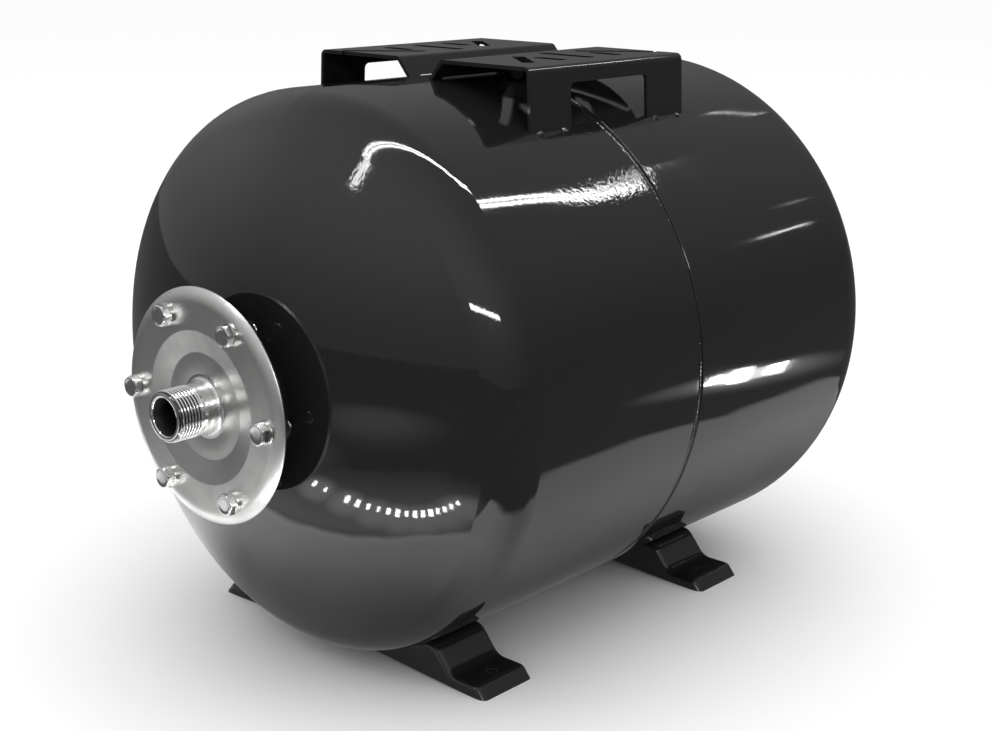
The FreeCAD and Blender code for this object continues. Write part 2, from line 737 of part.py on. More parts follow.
def make_bracket(label, turn):
    """A pump bracket bent from one sheet, drawn on the +Y side and turned to its place."""
    body = new_body(label, along="bracket_middle")
    body.Placement = Placement(body.Placement.Base, Rotation(Vector(0, 0, 1), turn))
    low = "axis_height + tank_radius / 2"
    section = new_sketch(body, "YZ_Plane", f"{label}_section")
    draw_bracket_section(section, low)
    pad_both_ways(body, section, f"{label}_pad", "bracket_length")

    # The tank's round side trims the foot of the wall and of the flange
    saddle = new_sketch(body, "YZ_Plane", f"{label}_saddle", "bracket_length / 2 + 1")
    circles(saddle, "tank_radius", ("0", "axis_height"))
    pocket(body, saddle, f"{label}_saddle_cut", "bracket_length + 2")

    window = new_sketch(body, "XZ_Plane", f"{label}_window", "-bracket_outer / 2")
    draw_window(window, low)
    pocket(body, window, f"{label}_window_cut")
    notches = new_sketch(body, "XZ_Plane", f"{label}_notches", "-bracket_outer / 2")
    notch_outline(notches, "", 1)
    notch_outline(notches, "-", -1)
    pocket(body, notches, f"{label}_notch_cut", reverse=True)

    slots = new_sketch(body, "XY_Plane", f"{label}_slots", "bracket_top + 1")
    draw_straight_slots(slots)
    draw_fanned_slots(slots)
    pocket(body, slots, f"{label}_slot_cut", "bracket_sheet + 2")
    add_tab(body, label)
    return body


def draw_straight_slots(sketch):
    """Three slots across the plate, as seen from above: a long one between two short ones."""
    half = "slot_width / 2"
    for x, start in (("-slot_centre", "slot_far"),
                     ("(slot_pitch - slot_centre)", "(slot_near - slot_short)"),
                     ("(-slot_pitch - slot_centre)", "(slot_near - slot_short)")):
        outline(
            sketch, (f"{x} + {half}", f"{start} + {half}"),
            ((f"{x} + {half}", f"slot_near - {half}"),),
            ((f"{x} - {half}", f"slot_near - {half}"), (x, f"slot_near - {half}"), 1),
            ((f"{x} - {half}", f"{start} + {half}"),),
            ((f"{x} + {half}", f"{start} + {half}"), (x, f"{start} + {half}"), 1))


def draw_fanned_slots(sketch):
    """Two slots that lean out towards the wall; the one towards +X has square ends."""
    for side, slant in (("+", "square_slot_slant"), ("-", "slot_slant")):
        near, far = (f"-slot_centre {side} slot_corner", "fan_slot_y"), \
                    (f"-slot_centre {side} slot_corner {side} {slant}", "fan_slot_y + slot_slant")
        length = f"sqrt({slant}^2 + slot_slant^2)"
        run, rise = f"slot_width / 2 * slot_slant / {length}", f"slot_width / 2 * {slant} / {length}"
        away = "-" if side == "+" else "+"
        corners = [(f"{near[0]} {side} {run}", f"{near[1]} - {rise}"),
                   (f"{far[0]} {side} {run}", f"{far[1]} - {rise}"),
                   (f"{far[0]} {away} {run}", f"{far[1]} + {rise}"),
                   (f"{near[0]} {away} {run}", f"{near[1]} + {rise}")]
        if side == "+":
            outline(sketch, corners[0], *[(corner,) for corner in corners[1:] + corners[:1]])
        else:
            outline(sketch, corners[0], (corners[1],), (corners[2], far, -1),
                    (corners[3],), (corners[0], near, -1))


def make_valve():
    """The air valve: a bush in the crown, a tyre valve screwed into it, its cap and a cover."""
    turned(
        "valve_bush",
        ("rear_apex - bush_inside", "bush_bore"),
        (("bush_seat", "bush_bore"),),
        (("bush_seat", "bush_radius - bush_chamfer"),),
        (("bush_seat - bush_chamfer", "bush_radius"),),
        (("rear_apex - bush_inside", "bush_radius"),),
        (("rear_apex - bush_inside", "bush_bore"),))
    turned(
        "valve_gasket",
        ("bush_seat", "bush_bore"),
        (("stem_base", "bush_bore"),),
        (("stem_base", "gasket_radius"),),
        (("bush_seat", "gasket_radius"),),
        (("bush_seat", "bush_bore"),))
    stem = turned(
        "valve_stem",
        ("stem_base - stem_tail", "stem_bore"),
        (("stem_top", "stem_bore"),),
        (("stem_top", "stem_radius"),),
        (("stem_neck", "stem_radius"),),
        (("stem_neck", "stem_flats / sqrt(3)"),),
        (("stem_base", "stem_flats / sqrt(3)"),),
        (("stem_base", "bush_bore"),),
        (("stem_base - stem_tail", "bush_bore"),),
        (("stem_base - stem_tail", "stem_bore"),))
    trim_to_hexagon(stem, "stem", "stem_flats", "stem_neck", "stem_hex")
    turned(
        "valve_core",
        ("core_low", "core_bore"),
        (("core_top", "core_bore"),),
        (("core_top", "stem_bore"),),
        (("core_low", "stem_bore"),),
        (("core_low", "core_bore"),))
    turned(
        "core_seal",
        ("seal_low", "pin_radius"),
        (("core_low", "pin_radius"),),
        (("core_low", "pin_foot"),),
        (("seal_low", "pin_foot"),),
        (("seal_low", "pin_radius"),))
    turned(
        "core_pin",
        ("seal_low - pin_tail", "0"),
        (("core_top + pin_proud", "0"),),
        (("core_top + pin_proud", "pin_radius"),),
        (("seal_low", "pin_radius"),),
        (("seal_low", "pin_foot"),),
        (("seal_low - pin_radius", "pin_foot"),),
        (("seal_low - pin_radius", "pin_radius"),),
        (("seal_low - pin_tail", "pin_radius"),),
        (("seal_low - pin_tail", "0"),))
    turned(
        "dust_cap",
        ("stem_top - cap_cover", "stem_radius"),
        (("cap_roof", "stem_radius"),),
        (("cap_roof", "0"),),
        (("cap_roof + cap_top", "0"),),
        (("cap_roof + cap_top", "cap_radius - cap_top / 2"),),
        (("cap_roof + cap_top / 2", "cap_radius"),),
        (("stem_top - cap_cover", "cap_radius"),),
        (("stem_top - cap_cover", "stem_radius"),))
    make_cover()


def make_cover():
    """The cover over the valve: a cup with an inner ring that clips on the bush, fluted for grip."""
    corner = ("cover_end - cover_edge", "cover_radius - cover_edge")
    cover = turned(
        "valve_cover",
        ("cover_rim", "cover_bore"),
        (("cover_end - cover_edge", "cover_bore"),),
        (("cover_end - cover_wall", "cover_radius - cover_edge"), corner, -1),
        (("cover_end - cover_wall", "clip_radius"),),
        (("bush_seat - cover_clip_gap", "clip_radius"),),
        (("bush_seat - cover_clip_gap", "bush_radius"),),
        (("cover_end - cover_wall", "bush_radius"),),
        (("cover_end - cover_wall", "0"),),
        (("cover_end", "0"),),
        (("cover_end", "cover_radius - cover_edge"),),
        (("cover_end - cover_edge", "cover_radius"), corner, 1),
        (("cover_rim", "cover_radius"),),
        (("cover_rim", "cover_bore"),))
    sketch = new_sketch(cover, "YZ_Plane", "cover_flute", "cover_end + 1")
    circles(sketch, "flute_radius", ("cover_radius + flute_proud", "0"))
    cut = pocket(cover, sketch, "cover_flute_cut")
    around(cover, cut, "cover_flute_ring", 18)


make_front_shell()
make_rear_shell()
make_bladder()
make_counter_flange()
make_inlet_nipple()
bolt, washer, nut = hex_bolt(), spring_washer(), weld_nut()
ring_of("flange_bolts", bolt, "ring_front - washer_height", "bolt_turn_angle")
ring_of("spring_washers", washer, "ring_front", "washer_turn_angle")
ring_of("weld_nuts", nut, "neck_face + shell_wall", "0")
make_foot("front_foot", "-1")
make_foot("rear_foot", "1")
make_bracket("near_pump_bracket", 180)
make_bracket("far_pump_bracket", 0)
make_valve()
doc.recompute()

NODES = [
    "front_shell", "rear_shell", "bladder", "counter_flange", "inlet_nipple", "flange_bolts",
    "spring_washers", "weld_nuts", "front_foot", "rear_foot", "near_pump_bracket",
    "far_pump_bracket", "valve_bush", "valve_gasket", "valve_stem", "valve_core", "core_seal",
    "core_pin", "dust_cap", "valve_cover"]

faults = []
for item in doc.Objects:
    if "Invalid" in item.State or "Error" in item.State:
        faults.append(f"{item.Label}: {item.State}")
for label in NODES:
    shape = doc.getObjectsByLabel(label)[0].Shape
    if shape.isNull() or not shape.isValid() or not shape.Solids:
        faults.append(f"{label}: bad shape")
if faults:
    raise RuntimeError("; ".join(faults))

os.makedirs("parts", exist_ok=True)
for label in NODES:
    shape = doc.getObjectsByLabel(label)[0].Shape
    shape.exportStep(f"parts/{label}.step")
    box = shape.optimalBoundingBox()
    print(f"{label:20s} {len(shape.Solids)} solid  volume {shape.Volume:10.0f}"
          f"  x {box.XMin:8.2f} {box.XMax:8.2f}  y {box.YMin:8.2f} {box.YMax:8.2f}"
          f"  z {box.ZMin:8.2f} {box.ZMax:8.2f}")
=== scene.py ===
import math

import bpy
from mathutils import Matrix, Vector, noise


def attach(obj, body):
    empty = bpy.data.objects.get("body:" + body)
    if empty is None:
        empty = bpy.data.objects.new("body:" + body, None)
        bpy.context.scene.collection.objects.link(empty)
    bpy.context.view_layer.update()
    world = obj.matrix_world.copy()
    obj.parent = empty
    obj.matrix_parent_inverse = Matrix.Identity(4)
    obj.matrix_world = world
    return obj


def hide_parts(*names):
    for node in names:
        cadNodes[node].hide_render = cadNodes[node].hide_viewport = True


# Horizontal pressure tank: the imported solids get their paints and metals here. The nipple,
# the flange, the bolts and the brackets' sheets are drawn again with finer forms, and the
# welds, the floor and the lights are added.

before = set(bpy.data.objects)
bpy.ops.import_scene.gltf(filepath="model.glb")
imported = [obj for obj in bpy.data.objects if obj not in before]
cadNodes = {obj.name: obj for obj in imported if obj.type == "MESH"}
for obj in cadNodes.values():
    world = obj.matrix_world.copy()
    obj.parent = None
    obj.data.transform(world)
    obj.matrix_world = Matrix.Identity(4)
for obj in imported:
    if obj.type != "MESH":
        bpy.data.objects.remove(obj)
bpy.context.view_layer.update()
print("frame loaded with", len(cadNodes), "nodes")

tank = {
    "axisHeight": 0.2,
    "radius": 0.19,
    "seamFloor": 0.189,       # radius of the groove's floor
    "seamHalfWidth": 0.0021,
}


def onAxis(x, radius, angle):
    # a point beside the tank's axis; angle 0 is up and a quarter turn is -Y
    return Vector((x, -radius * math.sin(angle), tank["axisHeight"] + radius * math.cos(angle)))


def newPiece(name, points, faces, material):
    # a smooth mesh that rides on the body
    mesh = bpy.data.meshes.new(name)
    mesh.from_pydata(points, [], faces)
    mesh.validate()
    mesh.update()
    mesh.shade_smooth()
    piece = bpy.data.objects.new(name, mesh)
    bpy.context.collection.objects.link(piece)
    piece.data.materials.append(material)
    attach(piece, "root")
    return piece


def gridFaces(rows, columns, closedRows=False, closedColumns=True):
    # quads over points that are stored row by row
    faces = []
    for row in range(rows if closedRows else rows - 1):
        for column in range(columns if closedColumns else columns - 1):
            a = row * columns + column
            b = row * columns + (column + 1) % columns
            c = ((row + 1) % rows) * columns + (column + 1) % columns
            d = ((row + 1) % rows) * columns + column
            faces.append((a, b, c, d))
    return faces


def joinMesh(points, faces, morePoints, moreFaces):
    # adds a mesh to the lists of another
    start = len(points)
    points += morePoints
    faces += [tuple(start + corner for corner in face) for face in moreFaces]


def feed(tree, socket, value):
    if isinstance(value, bpy.types.NodeSocket):
        tree.links.new(value, socket)
    else:
        socket.default_value = value


def mathNode(tree, operation, first, second=0.0, clamp=False):
    node = tree.nodes.new("ShaderNodeMath")
    node.operation = operation
    node.use_clamp = clamp
    feed(tree, node.inputs[0], first)
    feed(tree, node.inputs[1], second)
    return node.outputs[0]


def noiseNode(tree, vector, scale, detail=2.0, roughness=0.5):
    node = tree.nodes.new("ShaderNodeTexNoise")
    node.inputs["Detail"].default_value = detail
    node.inputs["Roughness"].default_value = roughness
    feed(tree, node.inputs["Vector"], vector)
    feed(tree, node.inputs["Scale"], scale)
    return node.outputs["Fac"]


def rampNode(tree, value, low, high, toLow=0.0, toHigh=1.0):
    node = tree.nodes.new("ShaderNodeMapRange")
    node.interpolation_type = "SMOOTHSTEP"
    feed(tree, node.inputs["Value"], value)
    feed(tree, node.inputs["From Min"], low)
    feed(tree, node.inputs["From Max"], high)
    feed(tree, node.inputs["To Min"], toLow)
    feed(tree, node.inputs["To Max"], toHigh)
    return node.outputs["Result"]


def mixColours(tree, factor, first, second):
    node = tree.nodes.new("ShaderNodeMix")
    node.data_type = "RGBA"
    feed(tree, node.inputs["Factor"], factor)
    feed(tree, node.inputs[6], first)
    feed(tree, node.inputs[7], second)
    return node.outputs[2]


def mixValues(tree, factor, first, second):
    node = tree.nodes.new("ShaderNodeMix")
    feed(tree, node.inputs["Factor"], factor)
    feed(tree, node.inputs[2], first)
    feed(tree, node.inputs[3], second)
    return node.outputs[0]


def hypotNode(tree, first, second):
    squares = mathNode(tree, "ADD", mathNode(tree, "MULTIPLY", first, first),
                       mathNode(tree, "MULTIPLY", second, second))
    return mathNode(tree, "SQRT", squares)


def objectPlace(tree):
    return tree.nodes.new("ShaderNodeTexCoord").outputs["Object"]


def newGroup(name, inputs, outputs):
    # an empty node group, with its tree, its input node and its output node
    tree = bpy.data.node_groups.new(name, "ShaderNodeTree")
    for label, kind, start in inputs:
        socket = tree.interface.new_socket(label, in_out="INPUT", socket_type=f"NodeSocket{kind}")
        socket.default_value = start
    for label, kind in outputs:
        tree.interface.new_socket(label, in_out="OUTPUT", socket_type=f"NodeSocket{kind}")
    return tree, tree.nodes.new("NodeGroupInput"), tree.nodes.new("NodeGroupOutput")


paintSkin = {
    "speckSize": 900.0, "speckRange": (0.78, 0.84),
    "hazeSize": 14.0, "hazeRange": (0.35, 0.75),
    "spraySize": 360.0,
    "sprayBeforeSeam": (-0.12, -0.05),       # dry spray comes up over this X
    "sprayAtSeam": (0.02, 0.0),              # and ends at the seam
    "sprayOnCrown": (-0.18, -0.205, 0.0, 0.5),   # a weaker patch on the front crown
    "sprayHeights": (0.28, 0.33),
}


def makePaintFilm():
    # sprayed gloss paint: orange peel, the slow waves of rolled sheet and a few dust specks
    tree, given, result = newGroup(
        "paintFilm",
        [("Peel Size", "Float", 260.0), ("Peel Depth", "Float", 0.00002),
         ("Wave Size", "Float", 9.0), ("Wave Depth", "Float", 0.0006),
         ("Dry Spray", "Float", 0.0), ("Dust", "Float", 0.3)],
        [("Height", "Float"), ("Specks", "Float"), ("Haze", "Float")])
    place = objectPlace(tree)
    peel = mathNode(tree, "MULTIPLY", noiseNode(tree, place, given.outputs["Peel Size"]),
                    given.outputs["Peel Depth"])
    wave = mathNode(tree, "MULTIPLY", noiseNode(tree, place, given.outputs["Wave Size"], 1.0),
                    given.outputs["Wave Depth"])
    split = tree.nodes.new("ShaderNodeSeparateXYZ")
    feed(tree, split.inputs[0], place)
    # dry spray: a rougher skin on the upper side, before the seam and on the front crown
    x = split.outputs["X"]
    nearSeam = mathNode(tree, "MULTIPLY", rampNode(tree, x, *paintSkin["sprayBeforeSeam"]),
                        rampNode(tree, x, *paintSkin["sprayAtSeam"]))
    dry = mathNode(tree, "MAXIMUM", nearSeam, rampNode(tree, x, *paintSkin["sprayOnCrown"]))
    dry = mathNode(tree, "MULTIPLY", dry,
                   rampNode(tree, split.outputs["Z"], *paintSkin["sprayHeights"]))
    buckle = mathNode(tree, "MULTIPLY", noiseNode(tree, place, paintSkin["spraySize"]),
                      mathNode(tree, "MULTIPLY", dry, given.outputs["Dry Spray"]))
    height = mathNode(tree, "ADD", mathNode(tree, "ADD", peel, wave), buckle)
    specks = rampNode(tree, noiseNode(tree, place, paintSkin["speckSize"], 1.0),
                      *paintSkin["speckRange"])
    haze = rampNode(tree, noiseNode(tree, place, paintSkin["hazeSize"], 4.0, 0.65),
                    *paintSkin["hazeRange"])
    feed(tree, result.inputs["Height"], height)
    feed(tree, result.inputs["Specks"], mathNode(tree, "MULTIPLY", specks, given.outputs["Dust"]))
    feed(tree, result.inputs["Haze"], haze)
    return tree


zincSkin = {
    "cloudSize": 55.0, "cloudRange": (0.38, 0.66),
    "cloudDulling": 0.5, "cloudRoughening": 0.6,
    "nickSize": 420.0, "nickRange": (0.45, 0.62), "nickDepth": 0.00012,
    "rimSoftness": 0.0008, "rootSoftness": 0.0007,
    "grainSize": 1500.0, "grainDepth": 0.000001,
}


def makeZincFilm():
    # zinc plate over drawn or turned steel: rings round the axis, dull clouds, nicks at the rim, and
    # painted shade in the thread roots
    tree, given, result = newGroup(
        "zincFilm",
        [("Bright", "Color", (0.62, 0.62, 0.61, 1)), ("Dull", "Color", (0.36, 0.36, 0.36, 1)),
         ("Ring Size", "Float", 900.0), ("Ring Depth", "Float", 0.000006),
         ("Smooth", "Float", 0.2), ("Coarse", "Float", 0.38),
         ("Rim Start", "Float", 1.0), ("Rim Nicks", "Float", 0.0),
         ("Root Radius", "Float", -1.0), ("Root Shade Colour", "Color", (0.1, 0.1, 0.1, 1))],
        [("Colour", "Color"), ("Roughness", "Float"), ("Height", "Float")])
    place = objectPlace(tree)
    split = tree.nodes.new("ShaderNodeSeparateXYZ")
    feed(tree, split.inputs[0], place)
    lifted = mathNode(tree, "SUBTRACT", split.outputs["Z"], tank["axisHeight"])
    radius = hypotNode(tree, lifted, split.outputs["Y"])
    turned = tree.nodes.new("ShaderNodeCombineXYZ")
    feed(tree, turned.inputs[0], split.outputs["X"])
    feed(tree, turned.inputs[1], radius)
    rings = noiseNode(tree, turned.outputs[0], given.outputs["Ring Size"])
    clouds = rampNode(tree, noiseNode(tree, place, zincSkin["cloudSize"], 5.0, 0.6),
                      *zincSkin["cloudRange"])
    atRim = rampNode(tree, mathNode(tree, "SUBTRACT", radius, given.outputs["Rim Start"]),
                     0.0, zincSkin["rimSoftness"])
    nicked = rampNode(tree, noiseNode(tree, place, zincSkin["nickSize"], 3.0, 0.7),
                      *zincSkin["nickRange"])
    nicks = mathNode(tree, "MULTIPLY", nicked,
                     mathNode(tree, "MULTIPLY", atRim, given.outputs["Rim Nicks"]))
    dulled = mathNode(tree, "MULTIPLY", clouds, zincSkin["cloudDulling"])
    dullness = mathNode(tree, "MAXIMUM", dulled, nicks, clamp=True)
    plated = mixColours(tree, dullness, given.outputs["Bright"], given.outputs["Dull"])
    # painted shade: below the root radius the colour darkens to the root shade colour, in the thread's
    # grooves
    aboveRoot = rampNode(tree, mathNode(tree, "SUBTRACT", radius, given.outputs["Root Radius"]),
                         0.0, zincSkin["rootSoftness"])
    feed(tree, result.inputs["Colour"],
         mixColours(tree, aboveRoot, given.outputs["Root Shade Colour"], plated))
    roughened = mathNode(tree, "MULTIPLY", clouds, zincSkin["cloudRoughening"])
    feed(tree, result.inputs["Roughness"],
         mixValues(tree, mathNode(tree, "MAXIMUM", roughened, nicks),
                   given.outputs["Smooth"], given.outputs["Coarse"]))
    grain = mathNode(tree, "MULTIPLY", noiseNode(tree, place, zincSkin["grainSize"]),
                     zincSkin["grainDepth"])
    ringed = mathNode(tree, "MULTIPLY", rings, given.outputs["Ring Depth"])
    relief = mathNode(tree, "ADD", ringed, grain)
    feed(tree, result.inputs["Height"],
         mathNode(tree, "SUBTRACT", relief, mathNode(tree, "MULTIPLY", nicks, zincSkin["nickDepth"])))
    return tree


mouldedSkin = {"bloomSize": 40.0, "bloomRange": (0.4, 0.7)}


def makeMouldedFilm():
    # moulded rubber or plastic: a fine stipple and faint bloom
    tree, given, result = newGroup(
        "mouldedFilm",
        [("Base", "Color", (0.02, 0.02, 0.02, 1)), ("Bloom", "Color", (0.05, 0.05, 0.05, 1)),
         ("Grain Size", "Float", 700.0), ("Grain Depth", "Float", 0.00002),
         ("Smooth", "Float", 0.45), ("Coarse", "Float", 0.7)],
        [("Colour", "Color"), ("Roughness", "Float"), ("Height", "Float")])
    place = objectPlace(tree)
    bloom = rampNode(tree, noiseNode(tree, place, mouldedSkin["bloomSize"], 5.0, 0.6),
                     *mouldedSkin["bloomRange"])
    feed(tree, result.inputs["Colour"],
         mixColours(tree, bloom, given.outputs["Base"], given.outputs["Bloom"]))
    feed(tree, result.inputs["Roughness"],
         mixValues(tree, bloom, given.outputs["Smooth"], given.outputs["Coarse"]))
    feed(tree, result.inputs["Height"],
         mathNode(tree, "MULTIPLY", noiseNode(tree, place, given.outputs["Grain Size"]),
                  given.outputs["Grain Depth"]))
    return tree


paintFilm = makePaintFilm()
zincFilm = makeZincFilm()
mouldedFilm = makeMouldedFilm()


def newMaterial(name, film, settings):
    # a Principled material with one film group beside it; settings go to the group's inputs
    material = bpy.data.materials.new(name)
    material.use_nodes = True
    tree = material.node_tree
    shader = tree.nodes["Principled BSDF"]
    group = tree.nodes.new("ShaderNodeGroup")
    group.node_tree = film
    for label, value in settings.items():
        group.inputs[label].default_value = value
    bump = tree.nodes.new("ShaderNodeBump")
    bump.inputs["Distance"].default_value = 1.0
    tree.links.new(group.outputs["Height"], bump.inputs["Height"])
    tree.links.new(bump.outputs["Normal"], shader.inputs["Normal"])
    return material, tree, shader, group


def paintMaterial(name, look, settings):
    material, tree, shader, group = newMaterial(name, paintFilm, settings)
    shader.inputs["Specular IOR Level"].default_value = look["gloss"]
    shader.inputs["IOR"].default_value = 1.5
    dusty = mixColours(tree, group.outputs["Specks"], look["colour"], look["dust"])
    feed(tree, shader.inputs["Base Color"], dusty)
    roughness = rampNode(tree, group.outputs["Haze"], 0.0, 1.0, look["smooth"], look["coarse"])
    feed(tree, shader.inputs["Roughness"], roughness)
    return material


def metalMaterial(name, settings):
    material, tree, shader, group = newMaterial(name, zincFilm, settings)
    shader.inputs["Metallic"].default_value = 1.0
    feed(tree, shader.inputs["Base Color"], group.outputs["Colour"])
    feed(tree, shader.inputs["Roughness"], group.outputs["Roughness"])
    return material


def mouldedMaterial(name, settings):
    material, tree, shader, group = newMaterial(name, mouldedFilm, settings)
    shader.inputs["Specular IOR Level"].default_value = 0.4
    feed(tree, shader.inputs["Base Color"], group.outputs["Colour"])
    feed(tree, shader.inputs["Roughness"], group.outputs["Roughness"])
    return material


black = (0.0105, 0.0105, 0.011, 1)
dust = (0.25, 0.25, 0.25, 1)
tankPaint = paintMaterial(
    "tankPaint",
    {"colour": black, "dust": dust, "gloss": 0.5, "smooth": 0.035, "coarse": 0.075},
    {"Peel Size": 330.0, "Peel Depth": 0.000012, "Wave Size": 7.0, "Wave Depth": 0.0009,
     "Dry Spray": 0.000095, "Dust": 0.5})
bracketPaint = paintMaterial(
    "bracketPaint",
    {"colour": black, "dust": dust, "gloss": 0.4, "smooth": 0.07, "coarse": 0.11},
    {"Peel Size": 360.0, "Peel Depth": 0.00001, "Wave Size": 18.0, "Wave Depth": 0.0004, "Dust": 0.5})
footPaint = paintMaterial(
    "footPaint",
    {"colour": black, "dust": dust, "gloss": 0.5, "smooth": 0.08, "coarse": 0.13},
    {"Peel Size": 360.0, "Peel Depth": 0.000015, "Wave Size": 22.0, "Wave Depth": 0.0004, "Dust": 0.5})
zincSheet = metalMaterial(
    "zincSheet",
    {"Bright": (0.6, 0.6, 0.59, 1), "Dull": (0.46, 0.46, 0.46, 1), "Ring Size": 1300.0,
     "Ring Depth": 0.000002, "Smooth": 0.33, "Coarse": 0.4, "Rim Start": 0.0758, "Rim Nicks": 1.0})
# painted shade darkens the nipple's thread roots
zincTurned = metalMaterial(
    "zincTurned",
    {"Bright": (0.78, 0.78, 0.77, 1), "Dull": (0.6, 0.6, 0.6, 1), "Ring Size": 2600.0,
     "Ring Depth": 0.000004, "Smooth": 0.08, "Coarse": 0.16, "Root Radius": 0.0156,
     "Root Shade Colour": (0.08, 0.08, 0.08, 1)})
# painted shade: a near-black metal for the inside of the bore
boreShade = metalMaterial(
    "boreShade",
    {"Bright": (0.05, 0.05, 0.05, 1), "Dull": (0.02, 0.02, 0.02, 1), "Smooth": 0.5, "Coarse": 0.7})
zincHardware = metalMaterial(
    "zincHardware",
    {"Bright": (0.76, 0.76, 0.75, 1), "Dull": (0.5, 0.5, 0.5, 1), "Ring Size": 700.0,
     "Ring Depth": 0.000002, "Smooth": 0.07, "Coarse": 0.18})
weldMetal = metalMaterial(
    "weldMetal",
    {"Bright": (0.7, 0.7, 0.69, 1), "Dull": (0.45, 0.45, 0.45, 1), "Ring Size": 500.0,
     "Ring Depth": 0.000008, "Smooth": 0.2, "Coarse": 0.34})
valveBrass = metalMaterial(
    "valveBrass",
    {"Bright": (0.78, 0.57, 0.27, 1), "Dull": (0.5, 0.36, 0.17, 1), "Ring Size": 3000.0,
     "Ring Depth": 0.000006, "Smooth": 0.2, "Coarse": 0.32})
bladderRubber = mouldedMaterial(
    "bladderRubber", {"Base": (0.02, 0.02, 0.02, 1), "Bloom": (0.05, 0.05, 0.05, 1)})
sealRubber = mouldedMaterial(
    "sealRubber", {"Base": (0.014, 0.014, 0.014, 1), "Grain Size": 1800.0})
capPlastic = mouldedMaterial(
    "capPlastic", {"Base": (0.016, 0.016, 0.016, 1), "Bloom": (0.028, 0.028, 0.028, 1),
                   "Grain Size": 1500.0, "Grain Depth": 0.00003, "Smooth": 0.34, "Coarse": 0.5})

nodeMaterials = {
    "front_shell": tankPaint, "rear_shell": tankPaint, "valve_bush": tankPaint,
    "weld_nuts": tankPaint, "front_foot": footPaint, "rear_foot": footPaint,
    "near_pump_bracket": bracketPaint, "far_pump_bracket": bracketPaint,
    "counter_flange": zincSheet, "inlet_nipple": zincTurned, "flange_bolts": zincHardware,
    "spring_washers": zincHardware, "bladder": bladderRubber, "valve_gasket": sealRubber,
    "core_seal": sealRubber, "valve_stem": valveBrass, "valve_core": valveBrass,
    "core_pin": valveBrass, "dust_cap": capPlastic, "valve_cover": capPlastic}
for nodeName, node in cadNodes.items():
    node.data.materials.clear()
    node.data.materials.append(nodeMaterials[nodeName])
# even shading over the washers' small faces
cadNodes["spring_washers"].modifiers.new("faceWeight", "WEIGHTED_NORMAL")
print("materials set on the solids")

bracket = {
    "notchHeights": (0.3914, 0.3931),        # the roof of the notches in the inner flange's foot
    "notchReach": (0.0098, 0.0147),          # and its distance from the middle plane
    "roofFrom": 0.3900,                      # where the roof comes down to
    "roofSquash": 0.467,                     # and how much of its own slope is left
    "lean": 0.853,                           # the flange's way out for its way up
}


def makeBracket(nodeName, pieceName):
    # the bent sheet with the flatter notches of the photo
    b = bracket
    mesh = cadNodes[nodeName].data.copy()
    low, high = b["notchHeights"]
    near, far = b["notchReach"]
    for vertex in mesh.vertices:
        x, y, z = vertex.co
        if low < z < high and near < abs(y) < far:
            drop = z - (b["roofFrom"] + (z - low) * b["roofSquash"])
            vertex.co = (x, y - math.copysign(drop * b["lean"], y), z - drop)
    piece = bpy.data.objects.new(pieceName, mesh)
    bpy.context.collection.objects.link(piece)
    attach(piece, "root")
    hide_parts(nodeName)
    return piece


makeBracket("near_pump_bracket", "nearBracketSheet")
farBracket = makeBracket("far_pump_bracket", "farBracketSheet")
print("brackets made")

nipple = {
    "end": -0.295762,         # free end
    "back": -0.260762,
    "face": -0.264762,        # front of the flange's disc
    "crest": 0.01662,
    "bore": 0.012,
    "pitch": 0.0023091,       # 11 threads to the inch
    "depth": 0.00138,
    "rootFlat": 0.1,          # shares of the half pitch
    "flank": 0.78,
    "rounding": 0.35,
    "threadLength": 0.0182,
    "runOut": 0.0016,
    "chamfer": 0.0016,
    "lip": 0.0009,            # the wall that the chamfer leaves round the bore
    "mouth": 0.0006,          # the bore's own chamfer
    "plain": 0.004,           # bare shank in front of the flange
    "around": 120,
    "perPitch": 12,
}


def threadRadius(x, angle):
    # a rounded V thread that fades out before the plain part
    n = nipple
    along = x - n["end"]
    phase = (along / n["pitch"] - angle / (2 * math.pi)) % 1.0
    rise = (abs(phase * 2 - 1) - n["rootFlat"]) / n["flank"]
    rise = min(1.0, max(0.0, rise))                   # 0 in the root, 1 on the crest
    rounded = rise * rise * (3 - 2 * rise)
    cut = n["depth"] * (1 - rounded * n["rounding"] - rise * (1 - n["rounding"]))
    fade = min(1.0, max(0.0, (n["threadLength"] - along) / n["runOut"]))
    radius = n["crest"] - cut * fade
    bevel = n["crest"] - n["chamfer"] + along         # the chamfer of the free end
    return max(n["bore"] + n["lip"], min(radius, bevel))


def makeNipple():
    # rings of (x, radius by angle): the bore, its mouth, the thread and the plain shank
    n = nipple
    rings = [(n["back"], lambda angle: n["bore"]),
             (n["end"] + n["mouth"], lambda angle: n["bore"]),
             (n["end"], lambda angle: n["bore"] + n["mouth"])]
    steps = int(n["threadLength"] / n["pitch"] * n["perPitch"])
    for step in range(steps + 1):
        x = n["end"] + n["threadLength"] * step / steps
        rings.append((x, lambda angle, x=x: threadRadius(x, angle)))
    for x in (n["face"] - n["plain"], n["face"], n["back"]):
        rings.append((x, lambda angle: n["crest"]))
    points = []
    for x, radiusAt in rings:
        for column in range(n["around"]):
            angle = 2 * math.pi * column / n["around"]
            points.append(onAxis(x, radiusAt(angle), angle))
    faces = gridFaces(len(rings), n["around"], closedRows=True)
    piece = newPiece("nippleThread", points, faces, zincTurned)
    piece.data.materials.append(boreShade)
    piece.data.materials.append(zincHardware)
    # painted shade: the bore's faces take the near-black metal
    for index, face in enumerate(piece.data.polygons[:3 * n["around"]]):
        face.material_index = 1 if index < n["around"] else 2     # the bore, then the bare end face
    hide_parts("inlet_nipple")


makeNipple()

fillet = {
    "around": 144,
    "profile": 14,
    "leg": (0.0042, 0.0003, 3, 1.7),      # size, its wander, and the wander's noise scale and place
    "throat": (0.0040, 0.0002, 5, 4.1),
    "hollow": 1.15,
    "ripples": 62,
    "rippleDepth": 0.00003,
    "gap": 0.00002,
}


